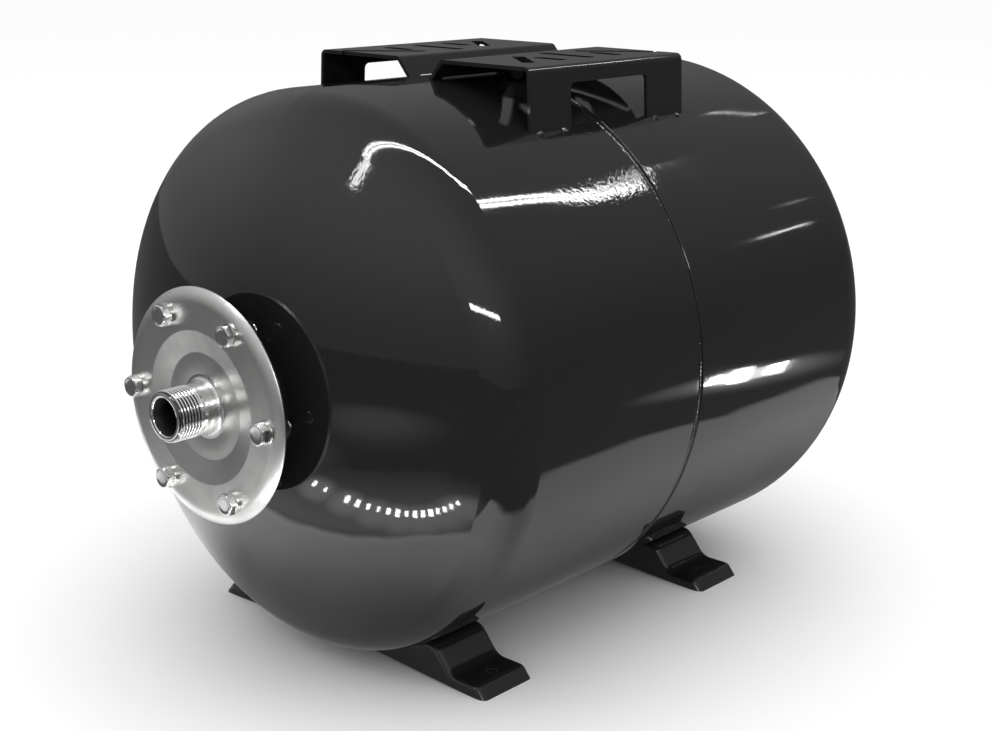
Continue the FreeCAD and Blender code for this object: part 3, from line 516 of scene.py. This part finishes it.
def wander(angle, size, depth, scale, place):
    # a size that changes slowly round the nipple
    return size + depth * noise.noise(Vector((math.cos(angle) * scale, math.sin(angle) * scale, place)))


def makeNippleWeld():
    # the fillet round the nipple's root
    around, profile = fillet["around"], fillet["profile"]
    points = []
    for column in range(around):
        angle = 2 * math.pi * column / around
        leg, throat = wander(angle, *fillet["leg"]), wander(angle, *fillet["throat"])
        for step in range(profile):
            share = step / (profile - 1)
            bend = math.pi / 2 * share
            outward = leg * (1 - math.sin(bend)) ** fillet["hollow"]
            rise = throat * (1 - math.cos(bend)) ** fillet["hollow"]
            ripple = (fillet["rippleDepth"] * math.sin(angle * fillet["ripples"])
                      * math.sin(math.pi * share))
            points.append(onAxis(nipple["face"] - rise - fillet["gap"] - ripple,
                                 nipple["crest"] + outward + fillet["gap"] + ripple, angle))
    faces = []
    for column in range(around):
        for step in range(profile - 1):
            a = column * profile + step
            b = ((column + 1) % around) * profile + step
            faces.append((a, a + 1, b + 1, b))
    newPiece("nippleWeld", points, faces, weldMetal)


makeNippleWeld()
print("nipple threaded and welded")

flange = {
    "discFront": -0.264762,
    "ringFront": -0.268462,
    "sheet": 0.003,
    "nippleRadius": 0.01664,
    "coneInner": 0.0345,
    "coneOuter": 0.0495,
    "coneFillet": 0.005,
    "filletShift": 0.0005,
    "filletTurn": 1.3,
    "filletSteps": 6,
    "coneLead": 0.004,         # the disc is flat up to this much inside the cone
    "flatRadius": 0.0655,      # where the ring starts to fall away to its rim
    "rimRound": 0.0165,
    "rimAngle": 41.0,
    "rimSteps": 14,
    "cutShares": (0.08, 0.5, 0.94),      # points across the sheared edge
    "cutCorner": (0.00005, 0.0002),
    "around": 240,
}


def arcPoints(centre, radius, start, stop, steps):
    # points (x, radius) of an arc, its angles in degrees from +X towards the rim
    return [(centre[0] + radius * math.cos(math.radians(start + (stop - start) * step / steps)),
             centre[1] + radius * math.sin(math.radians(start + (stop - start) * step / steps)))
            for step in range(steps + 1)]


def flangeProfile(depth, rimRound):
    # the sheet's line at a depth behind its front, from the nipple out to the rim
    f = flange
    disc, ring = f["discFront"] + depth, f["ringFront"] + depth
    slope = math.degrees(math.atan2(f["discFront"] - f["ringFront"], f["coneOuter"] - f["coneInner"]))
    radius, turn, shift = f["coneFillet"], slope * f["filletTurn"], f["filletShift"]
    line = [(disc, f["nippleRadius"]), (disc, f["coneInner"] - f["coneLead"])]
    line += arcPoints((disc - radius, f["coneInner"] - shift), radius, 0, turn, f["filletSteps"])
    line += arcPoints((ring + radius, f["coneOuter"] + shift), radius, 180 + turn, 180,
                      f["filletSteps"])
    line += [(ring, (f["coneOuter"] + f["flatRadius"]) / 2)]
    line += arcPoints((ring + rimRound, f["flatRadius"]), rimRound, 180, 180 - f["rimAngle"],
                      f["rimSteps"])
    return line


def makeFlange():
    # the pressed sheet, with a wide round shoulder before its rim
    f = flange
    front = flangeProfile(0.0, f["rimRound"])
    back = flangeProfile(f["sheet"], f["rimRound"] - f["sheet"])
    # the sheared rim: a tiny round on both corners of the cut edge
    (frontX, frontR), (backX, backR) = front[-1], back[-1]
    cut = [(frontX + (backX - frontX) * share, frontR + (backR - frontR) * share)
           for share in f["cutShares"]]
    front[-1] = (frontX - f["cutCorner"][0], frontR - f["cutCorner"][1])
    line = front + cut + back[::-1]
    points = [onAxis(x, radius, 2 * math.pi * column / f["around"])
              for x, radius in line for column in range(f["around"])]
    faces = gridFaces(len(line), f["around"], closedRows=True)
    piece = newPiece("flangeSheet", points, faces, zincSheet)
    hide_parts("counter_flange")
    piece.modifiers.new("faceWeight", "WEIGHTED_NORMAL")


makeFlange()

bolt = {
    "seat": -0.270462,        # under the heads
    "circle": 0.0625,
    "clocking": -2.27,
    "turn": 17.0,             # each head is turned this much more than the last
    "flats": 0.013,
    "head": 0.0053,
    "chamferStart": 0.0036,
    "topRadius": 0.0060,
    "topRound": 0.00025,
    "chamferSteps": 8,
    "dish": 0.00035,
    "dishRings": ((0.86, 0.0), (0.8, 0.75), (0.5, 1.0), (0.02, 1.0)),   # shares of top and dish
    "cornerTurn": 0.025,      # the hexagon's corners are cut this far, in radians
    "cornerSoft": 0.00008,
    "seatRound": 0.0002,
    "shank": 0.004,
    "shankChamfer": 0.001,
    "length": 0.020,
    "pitch": 0.00125,
    "turns": 7,
    "threadStart": 0.0012,
    "threadDepth": 0.00055,
}


def hexRadius(angle, flats):
    part = (angle + math.pi / 6) % (math.pi / 3) - math.pi / 6
    return flats / 2 / math.cos(part)


def boltRings():
    # the threaded shank as rings of (x from the seat, radius)
    b = bolt
    length, shank, chamfer = b["length"], b["shank"], b["shankChamfer"]
    rings = [(length, 0.0001), (length, shank - chamfer), (length - chamfer, shank)]
    for turn in range(b["turns"]):
        x = length - b["threadStart"] - turn * b["pitch"]
        rings += [(x, shank), (x - b["pitch"] * 0.5, shank - b["threadDepth"])]
    rings += [(length - b["threadStart"] - b["turns"] * b["pitch"], shank), (0.0, shank)]
    return rings


def boltMesh(spin):
    b = bolt
    half = math.pi / 6
    corners = [-half + b["cornerTurn"], -half / 2, 0.0, half / 2, half - b["cornerTurn"]]
    parts = corners * 6
    angles = [side * math.pi / 3 + part for side in range(6) for part in corners]
    rows = [[(x, radius) for angle in angles] for x, radius in boltRings()]
    hexed = [hexRadius(angle, b["flats"]) - (b["cornerSoft"] if abs(part) > half / 2 else 0.0)
             for angle, part in zip(angles, parts)]
    rows.append([(0.0, radius - b["seatRound"]) for radius in hexed])
    rows.append([(-b["seatRound"], radius) for radius in hexed])
    slope = math.sqrt(3)
    for step in range(b["chamferSteps"] + 1):
        # the hexagon's faces run up to a cone that takes off its corners
        rise = b["chamferStart"] + (b["head"] - b["chamferStart"]) * step / b["chamferSteps"]
        cone = b["topRadius"] + (b["head"] - rise) * slope
        rows.append([(-rise, min(radius, cone)) for radius in hexed])
    rows.append([(-b["head"], b["topRadius"] - b["topRound"]) for angle in angles])
    for share, sink in b["dishRings"]:
        rows.append([(-b["head"] + b["dish"] * sink, b["topRadius"] * share) for angle in angles])
    points = []
    for row in rows:
        for angle, (x, radius) in zip(angles, row):
            points.append(Vector((x, radius * math.cos(angle + spin), radius * math.sin(angle + spin))))
    faces = [tuple(reversed(face)) for face in gridFaces(len(rows), len(angles))]
    faces.append(tuple(range((len(rows) - 1) * len(angles), len(rows) * len(angles))))
    return points, faces


def makeBolts():
    # six hexagon bolts round the flange, each clocked its own way
    b = bolt
    points, faces = [], []
    for step in range(6):
        turn = math.radians(b["clocking"] + 60 * step)
        place = Vector((b["seat"], -b["circle"] * math.cos(turn),
                        tank["axisHeight"] + b["circle"] * math.sin(turn)))
        mesh, skin = boltMesh(math.radians(b["turn"] * step))
        joinMesh(points, faces, [place + point for point in mesh], skin)
    piece = newPiece("flangeBolts", points, faces, zincHardware)
    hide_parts("flange_bolts")
    piece.modifiers.new("faceWeight", "WEIGHTED_NORMAL")


makeBolts()
print("flange and bolts made")

girth = {
    "steps": 1500,
    "profile": 9,
    "rise": 0.00062,
    "floorGap": 0.00003,
    "noiseRadius": 12,
    "drift": (0.0005, 2.3),              # size and noise scale
    "fill": (0.75, 0.45, 6.1),           # the least share, what noise adds, and its scale
    "pools": 430,
    "poolDepth": 0.00012,
    "grain": (0.00007, 40),
}


def makeGirthWeld():
    # an uneven bead lying in the seam's groove
    g = girth
    points = []
    for step in range(g["steps"]):
        angle = 2 * math.pi * step / g["steps"]
        spot = Vector((math.cos(angle), math.sin(angle), 0)) * g["noiseRadius"]
        shift = g["drift"][0] * noise.noise(spot * g["drift"][1])
        fill = g["fill"][0] + g["fill"][1] * noise.noise(spot * g["fill"][2] + Vector((9, 2, 4)))
        pool = g["poolDepth"] * math.sin(angle * g["pools"] + 3 * noise.noise(spot))
        for column in range(g["profile"]):
            share = 2 * column / (g["profile"] - 1) - 1
            rise = g["rise"] * (1 - share * share) * fill + pool * (1 - abs(share))
            grain = g["grain"][0] * noise.noise(spot * g["grain"][1] + Vector((share * 3, 0, 0)))
            points.append(onAxis(share * tank["seamHalfWidth"] + shift * (1 - share * share),
                                 tank["seamFloor"] + g["floorGap"] + max(0.0, rise + grain), angle))
    faces = gridFaces(g["steps"], g["profile"], closedRows=True, closedColumns=False)
    newPiece("girthWeld", points, faces, tankPaint)


makeGirthWeld()

nubs = {
    "middle": 0.0093,                    # the brackets' own middle
    "wallY": 0.1012,
    "legs": (-0.074, -0.0494, 0.0494, 0.074),
    "size": (0.0036, 0.0028, 0.0020),
    "sunk": 0.0004,
    "rows": 9,
    "columns": 20,
    "swell": (0.22, 520),                # size and noise scale
}


def nubMesh(centre, up, along, seed):
    # one weld nub: a low dome with a rippled skin, half sunk in the tank
    across = along.cross(up).normalized()
    points = []
    for row in range(nubs["rows"]):
        lift = math.pi / 2 * row / (nubs["rows"] - 1)
        for column in range(nubs["columns"]):
            turn = 2 * math.pi * column / nubs["columns"]
            way = (along * (math.cos(turn) * math.cos(lift) * nubs["size"][0])
                   + across * (math.sin(turn) * math.cos(lift) * nubs["size"][1])
                   + up * (math.sin(lift) * nubs["size"][2]))
            rough = noise.noise((centre + way) * nubs["swell"][1] + Vector((seed, 0, 0)))
            points.append(centre + way * (1 + nubs["swell"][0] * rough))
    return points, gridFaces(nubs["rows"], nubs["columns"])


def makeBracketWelds(name, side):
    # a nub at each corner of the outer wall's two legs
    y = side * nubs["wallY"]
    up = Vector((0, y, math.sqrt(tank["radius"] ** 2 - y ** 2))).normalized()
    points, faces = [], []
    for index, leg in enumerate(nubs["legs"]):
        centre = (Vector((nubs["middle"] + leg, 0, tank["axisHeight"]))
                  + up * (tank["radius"] - nubs["sunk"]))
        joinMesh(points, faces, *nubMesh(centre, up, Vector((1, 0, 0)), index * 7 + 3 * side))
    newPiece(name, points, faces, bracketPaint)


for label, side in (("near", -1), ("far", 1)):
    makeBracketWelds(f"{label}BracketWelds", side)

footBead = {
    "centres": (-0.12595, 0.11855),
    "halfWidth": 0.02465,
    "turns": (21.0, 25.5),               # degrees round the tank from its lowest line
    "steps": 25,
    "inset": 0.0004,
    "size": (0.0022, 0.0016),
    "sides": 10,
    "pitch": 0.0021,
    "poolDepth": 0.1,
    "poolNoise": 60,
    "wander": (0.25, 140),               # size and noise scale
    "endSize": 0.35,
    "endGrowth": 0.25,                   # what each step adds to the end's size
}


def beadMesh(path, ups, seed):
    # a weld bead along a path: a flattened tube whose size ripples as the pools froze
    b = footBead
    points = []
    last = len(path) - 1
    length = 0.0
    for index, (here, up) in enumerate(zip(path, ups)):
        along = (path[min(index + 1, last)] - path[max(index - 1, 0)]).normalized()
        across = along.cross(up).normalized()
        if index:
            length += (here - path[index - 1]).length
        pool = math.sin(length / b["pitch"] * 2 * math.pi + noise.noise(here * b["poolNoise"]) * 2)
        rough = noise.noise(here * b["wander"][1] + Vector((seed, 0, 0)))
        swell = 1 + b["poolDepth"] * pool + b["wander"][0] * rough
        swell *= min(1.0, b["endSize"] + min(index, last - index) * b["endGrowth"])
        for side in range(b["sides"]):
            turn = 2 * math.pi * side / b["sides"]
            points.append(here + across * (math.cos(turn) * b["size"][0] * swell)
                          + up * (math.sin(turn) * b["size"][1] * swell))
    faces = gridFaces(len(path), b["sides"])
    faces.append(tuple(reversed(range(b["sides"]))))
    faces.append(tuple(range(last * b["sides"], len(path) * b["sides"])))
    return points, faces


def makeFootWelds(name, centre):
    # beads at the four corners where the foot's saddle meets the tank
    b = footBead
    start, stop = b["turns"]
    points, faces = [], []
    for end in (-1, 1):
        for side in (-1, 1):
            path, ups = [], []
            for step in range(b["steps"] + 1):
                turn = math.radians(start + (stop - start) * step / b["steps"])
                up = Vector((0, side * math.sin(turn), -math.cos(turn)))
                spot = Vector((centre + end * (b["halfWidth"] - b["inset"]), 0, tank["axisHeight"]))
                path.append(spot + up * (tank["radius"] + b["inset"]))
                ups.append(up)
            joinMesh(points, faces, *beadMesh(path, ups, end * 3 + side))
    newPiece(name, points, faces, footPaint)


for label, centre in zip(("front", "rear"), footBead["centres"]):
    makeFootWelds(f"{label}FootWelds", centre)
print("welds laid")

studio = {
    "floorSize": 60.0,
    "floorColour": (0.97, 0.97, 0.97, 1),
    "tableX": (-0.345, 0.50, 0.008),         # the lit table that the gloss sees: edges and softness
    "tableY": (-0.33, 0.55, 0.015),
    "tableFade": (-0.29, -0.08, 0.86, 0.38),   # its tone at the -X end, and from the middle on
    "bowX": (0.06, 0.28, 0.06),              # its -Y edge bulges beside the rear foot
    "bowDepth": 0.04,
    "edgeWobble": (9.0, 0.03),               # noise scale and size
    "shadeBox": (-0.20, 0.10),               # the tank's own shade: from this X, up to this |Y|
    "shadeTone": 0.26,
    "shadeReach": 0.15,
    "apronX": (-0.56, -0.345, 0.02),         # a dimmer step beyond the -X end
    "apronY": (-0.26, 0.20, 0.08),
    "apronTones": (0.12, 0.42),
    # painted pools of light on the floor, seen only by the gloss
    "pools": [((-0.98, -0.06, 0.0), 0.36, 0.24), ((-0.57, 0.24, 0.0), 0.28, 0.36),
              ((0.545, -0.50, 0.0), 0.15, 0.5)],   # centre, reach, tone
    "poolCore": 0.2,                         # the share of the reach with the full tone
    "darkTone": 0.05,
    "glossGlow": 1.3,
    "holePlaces": (0.0037, 0.12225, 0.1176),   # the pads' four holes: shift and half spacings
    "holeShade": (0.011, 0.013, 0.02, 1.0),    # radii and tones of the dark floor under them
}

beads = {
    "count": 17,
    "gap": 2,                                # this bulb is missing from the row
    "rowX": (-0.448, 0.1665, -0.0689, -0.052),
    "rowY": (0.0405, -0.4254, 0.3109, -0.1398),
    "height": 0.012,
    "size": (0.0062, 0.017),
    "sizeWander": 0.5,
    "along": (0.2, -0.98, 0),
    "radiance": 34.0,
    "halos": 7,                              # the soft light on the floor round the row
    "haloReach": 0.07,
    "haloTone": 0.8,
}


def beadSpot(share):
    # a place on the row's curve, by the share of its length
    return [sum(term * share ** power for power, term in enumerate(beads[key]))
            for key in ("rowX", "rowY")]


def between(tree, value, low, high, soft):
    # 1 between two edges, and 0 beyond them
    return mathNode(tree, "MULTIPLY", rampNode(tree, value, low - soft, low + soft),
                    rampNode(tree, value, high + soft, high - soft))


def paintedTableLight(tree, place):
    # painted light: a grey value over the floor, a lit table with a soft edge, a dim apron, then a dark
    # room
    split = tree.nodes.new("ShaderNodeSeparateXYZ")
    feed(tree, split.inputs[0], place)
    scale, size = studio["edgeWobble"]
    wobble = mathNode(tree, "MULTIPLY",
                      mathNode(tree, "SUBTRACT", noiseNode(tree, place, scale), 0.5), size)
    x = mathNode(tree, "ADD", split.outputs["X"], wobble)
    y = mathNode(tree, "ADD", split.outputs["Y"], wobble)
    bow = mathNode(tree, "MULTIPLY", between(tree, x, *studio["bowX"]), studio["bowDepth"])
    onTable = mathNode(tree, "MULTIPLY", between(tree, x, *studio["tableX"]),
                       between(tree, mathNode(tree, "ADD", y, bow), *studio["tableY"]))
    onApron = mathNode(tree, "MULTIPLY", between(tree, x, *studio["apronX"]),
                       between(tree, y, *studio["apronY"]))
    # painted shade of the tank, by the distance from the floor under it
    boxX, boxY = studio["shadeBox"]
    pastX = mathNode(tree, "MAXIMUM", mathNode(tree, "SUBTRACT", boxX, x), 0.0)
    pastY = mathNode(tree, "MAXIMUM",
                     mathNode(tree, "SUBTRACT", mathNode(tree, "ABSOLUTE", y), boxY), 0.0)
    shaded = rampNode(tree, hypotNode(tree, pastX, pastY), 0.0, studio["shadeReach"],
                      studio["shadeTone"], 1.0)
    tableShade = mathNode(tree, "MULTIPLY", shaded, rampNode(tree, x, *studio["tableFade"]))
    apronShade = rampNode(tree, x, *studio["apronX"][:2], *studio["apronTones"])
    tone = mathNode(tree, "ADD", mathNode(tree, "MULTIPLY", onTable, tableShade),
                    mathNode(tree, "MULTIPLY", onApron, apronShade))
    halos = [((*beadSpot(step / (beads["halos"] - 1)), 0.0), beads["haloReach"], beads["haloTone"])
             for step in range(beads["halos"])]
    for centre, reach, poolTone in studio["pools"] + halos:
        away = tree.nodes.new("ShaderNodeVectorMath")
        away.operation = "DISTANCE"
        feed(tree, away.inputs[0], place)
        away.inputs[1].default_value = centre
        pool = rampNode(tree, away.outputs["Value"], reach, reach * studio["poolCore"],
                        studio["darkTone"], poolTone)
        tone = mathNode(tree, "MAXIMUM", tone, pool)
    return tone


def makeFloor():
    # plain and pale for the eye, and for the gloss a painted lit table that glows
    half = studio["floorSize"] / 2
    mesh = bpy.data.meshes.new("floor")
    mesh.from_pydata([(-half, -half, 0), (half, -half, 0), (half, half, 0), (-half, half, 0)], [],
                     [(0, 1, 2, 3)])
    floor = bpy.data.objects.new("floor", mesh)
    bpy.context.collection.objects.link(floor)
    material = bpy.data.materials.new("paleFloor")
    material.use_nodes = True
    tree = material.node_tree
    shader = tree.nodes["Principled BSDF"]
    shader.inputs["Roughness"].default_value = 0.9
    shader.inputs["Specular IOR Level"].default_value = 0.0
    # painted shadow: the floor is dark under the pads' holes, as no light reaches it there and it shows
    # through them
    place = objectPlace(tree)
    split = tree.nodes.new("ShaderNodeSeparateXYZ")
    feed(tree, split.inputs[0], place)
    shiftX, halfX, halfY = studio["holePlaces"]
    fromMiddle = mathNode(tree, "ABSOLUTE", mathNode(tree, "ADD", split.outputs["X"], shiftX))
    offX = mathNode(tree, "SUBTRACT", fromMiddle, halfX)
    offY = mathNode(tree, "SUBTRACT", mathNode(tree, "ABSOLUTE", split.outputs["Y"]), halfY)
    lit = rampNode(tree, hypotNode(tree, offX, offY), *studio["holeShade"])
    seen = mixColours(tree, lit, (0, 0, 0, 1), studio["floorColour"])
    tone = tree.nodes.new("ShaderNodeCombineColor")
    grey = mathNode(tree, "MULTIPLY", paintedTableLight(tree, place), lit)
    for channel in tone.inputs[:3]:
        feed(tree, channel, grey)
    path = tree.nodes.new("ShaderNodeLightPath")
    feed(tree, shader.inputs["Base Color"],
         mixColours(tree, path.outputs["Is Glossy Ray"], seen, tone.outputs[0]))
    # painted light: for gloss rays the floor glows with the table's grey, though it is no lamp
    feed(tree, shader.inputs["Emission Color"],
         mixColours(tree, path.outputs["Is Glossy Ray"], (0, 0, 0, 1), tone.outputs[0]))
    shader.inputs["Emission Strength"].default_value = studio["glossGlow"]
    mesh.materials.append(material)


makeFloor()

room = {
    "backdrop": (1.0, 1.0, 1.0, 1),
    "horizon": (0.16, 0.16, 0.16, 1),
    "ceiling": (0.42, 0.42, 0.42, 1),
    "ceilingRise": (0.0, 0.6),
    "sideShades": (-1.0, 1.0, 1.9, 0.7),     # from -X to +X
    "farShade": (0.6, 1.0, 1.0, 1.45),       # towards +Y
}


def makeWorld():
    # bright all round for the eye and the floor, while gloss sees a dim room
    world = bpy.data.worlds.new("studio")
    bpy.context.scene.world = world
    world.use_nodes = True
    tree = world.node_tree
    background = tree.nodes["Background"]
    split = tree.nodes.new("ShaderNodeSeparateXYZ")
    feed(tree, split.inputs[0], tree.nodes.new("ShaderNodeTexCoord").outputs["Generated"])
    walls = mixColours(tree, rampNode(tree, split.outputs["Z"], *room["ceilingRise"]),
                       room["horizon"], room["ceiling"])
    shade = mathNode(tree, "MULTIPLY", rampNode(tree, split.outputs["X"], *room["sideShades"]),
                     rampNode(tree, split.outputs["Y"], *room["farShade"]))
    scaled = tree.nodes.new("ShaderNodeVectorMath")
    scaled.operation = "SCALE"
    feed(tree, scaled.inputs[0], walls)
    feed(tree, scaled.inputs["Scale"], shade)
    path = tree.nodes.new("ShaderNodeLightPath")
    feed(tree, background.inputs["Color"],
         mixColours(tree, path.outputs["Is Glossy Ray"], room["backdrop"], scaled.outputs[0]))
    background.inputs["Strength"].default_value = 1.0


makeWorld()

# strips of light that only the gloss sees: two ends, width and radiance; they face the tank
strips = {
    "ceilingStripLeft": ((-3.116, 1.229, 2.6), (3.134, -1.191, 2.6), 0.06, 30),
    "ceilingStripRight": ((-3.084, 1.311, 2.6), (3.166, -1.109, 2.6), 0.05, 30),
    "crossStrip": ((3.1, -1.15, 2.6), (3.05, -0.66, 2.6), 0.05, 18),
    "leftStreak": ((-2.196, -1.389, 1.125), (-0.595, -2.42, 1.281), 0.08, 26),
    "topStreak": ((1.926, 0.174, 1.592), (2.026, 0.03, 1.552), 0.016, 4),
    "sideStreak": ((2.164, -1.382, 0.987), (2.270, -1.310, 0.987), 0.018, 16),
    "faintStreak": ((2.231, -1.152, 1.237), (2.289, -1.110, 1.233), 0.02, 2.5),
}
# and low lamps on the floor beside the rear shell, which face down
glints = {
    "glintBar": ((0.522, -0.525, 0.005), (0.572, -0.452, 0.005), 0.11, 6),
    "glintLeft": ((0.517, -0.533, 0.008), (0.525, -0.520, 0.008), 0.10, 40),
    "glintMiddle": ((0.536, -0.507, 0.008), (0.548, -0.489, 0.008), 0.15, 60),
    "glintRight": ((0.560, -0.470, 0.008), (0.569, -0.456, 0.008), 0.10, 40),
}
highStrips = ("ceilingStripLeft", "ceilingStripRight", "crossStrip")


def makeStrip(name, start, end, width, radiance, facing=None):
    # a strip lamp from one end to the other, which only the gloss sees
    start, end = Vector(start), Vector(end)
    light = bpy.data.lights.new(name, "AREA")
    light.shape = "RECTANGLE"
    light.size = (end - start).length
    light.size_y = width
    light.energy = radiance * light.size * light.size_y * math.pi
    thing = bpy.data.objects.new(name, light)
    bpy.context.collection.objects.link(thing)
    middle = (start + end) / 2
    along = (end - start).normalized()
    outward = facing or (middle - Vector((0, 0, tank["axisHeight"]))).normalized()
    across = outward.cross(along).normalized()
    turn = Matrix((along, across, along.cross(across))).transposed()
    thing.matrix_world = Matrix.Translation(middle) @ turn.to_4x4()
    thing.visible_camera = False
    thing.visible_diffuse = False
    return thing


def makeStrips():
    # the far bracket's leaning flange would mirror the high strips, which the photo doesn't show
    shielded = bpy.data.collections.new("shielded")
    shielded.objects.link(farBracket)
    shielded.collection_objects[0].light_linking.link_state = "EXCLUDE"
    for name, lamp in strips.items():
        strip = makeStrip(name, *lamp)
        if name in highStrips:
            strip.light_linking.receiver_collection = shielded
    for name, lamp in glints.items():
        makeStrip(name, *lamp, facing=Vector((0, 0, -1)))


makeStrips()

softbox = {"place": (-0.4, -0.6, 3.0), "size": 3.2, "power": 30.0}


def makeSoftbox():
    # soft light from above for everything but the gloss
    light = bpy.data.lights.new("softbox", "AREA")
    light.shape = "SQUARE"
    light.size = softbox["size"]
    light.energy = softbox["power"]
    thing = bpy.data.objects.new("softbox", light)
    bpy.context.collection.objects.link(thing)
    thing.location = softbox["place"]
    thing.visible_glossy = False


makeSoftbox()


def makeBeads():
    # a row of small lamps low beside the tank, seen only in its gloss
    long, wide = beads["size"]
    for index in range(beads["count"]):
        if index == beads["gap"]:
            continue
        spot = Vector((*beadSpot(index / (beads["count"] - 1)), beads["height"]))
        size = 1 + beads["sizeWander"] * noise.noise(Vector((index * 1.7, 0.4, 0)))
        reach = Vector(beads["along"]) * (long * size / 2)
        makeStrip("bead", spot - reach, spot + reach, wide * size, beads["radiance"],
                  facing=Vector((0, 0, -1)))


makeBeads()
print("studio lit")

view = {
    "aim": (0.00557, 0.0, 0.16435),
    "distance": 1.21544,
    "yaw": -47.99,
    "pitch": 15.92,
    "roll": 0.44,
    "focal": 1622.0,          # in pixels of a picture 993 wide
    "centre": (494.68, 375.56),
    "picture": (993, 731),
}


def makeCamera():
    yaw, pitch, roll = (math.radians(view[key]) for key in ("yaw", "pitch", "roll"))
    back = Vector((math.sin(yaw) * math.cos(pitch), -math.cos(yaw) * math.cos(pitch), math.sin(pitch)))
    right = (-back).cross(Vector((0, 0, 1))).normalized()
    up = right.cross(-back)
    level = Matrix((right, up, back)).transposed()
    turned = level @ Matrix.Rotation(roll, 3, "Z")
    lens = bpy.data.cameras.new("camera")
    lens.sensor_fit = "HORIZONTAL"
    lens.sensor_width = 36.0
    wide, high = view["picture"]
    lens.lens = view["focal"] * lens.sensor_width / wide
    lens.shift_x = (wide / 2 - view["centre"][0]) / wide
    lens.shift_y = (view["centre"][1] - high / 2) / wide
    lens.clip_start, lens.clip_end = 0.05, 100
    camera = bpy.data.objects.new("camera", lens)
    bpy.context.collection.objects.link(camera)
    eye = Vector(view["aim"]) + back * view["distance"]
    camera.matrix_world = Matrix.Translation(eye) @ turned.to_4x4()
    bpy.context.scene.camera = camera


makeCamera()
bpy.context.scene.view_settings.view_transform = "Standard"
print("camera placed")

bpy.context.view_layer.update()
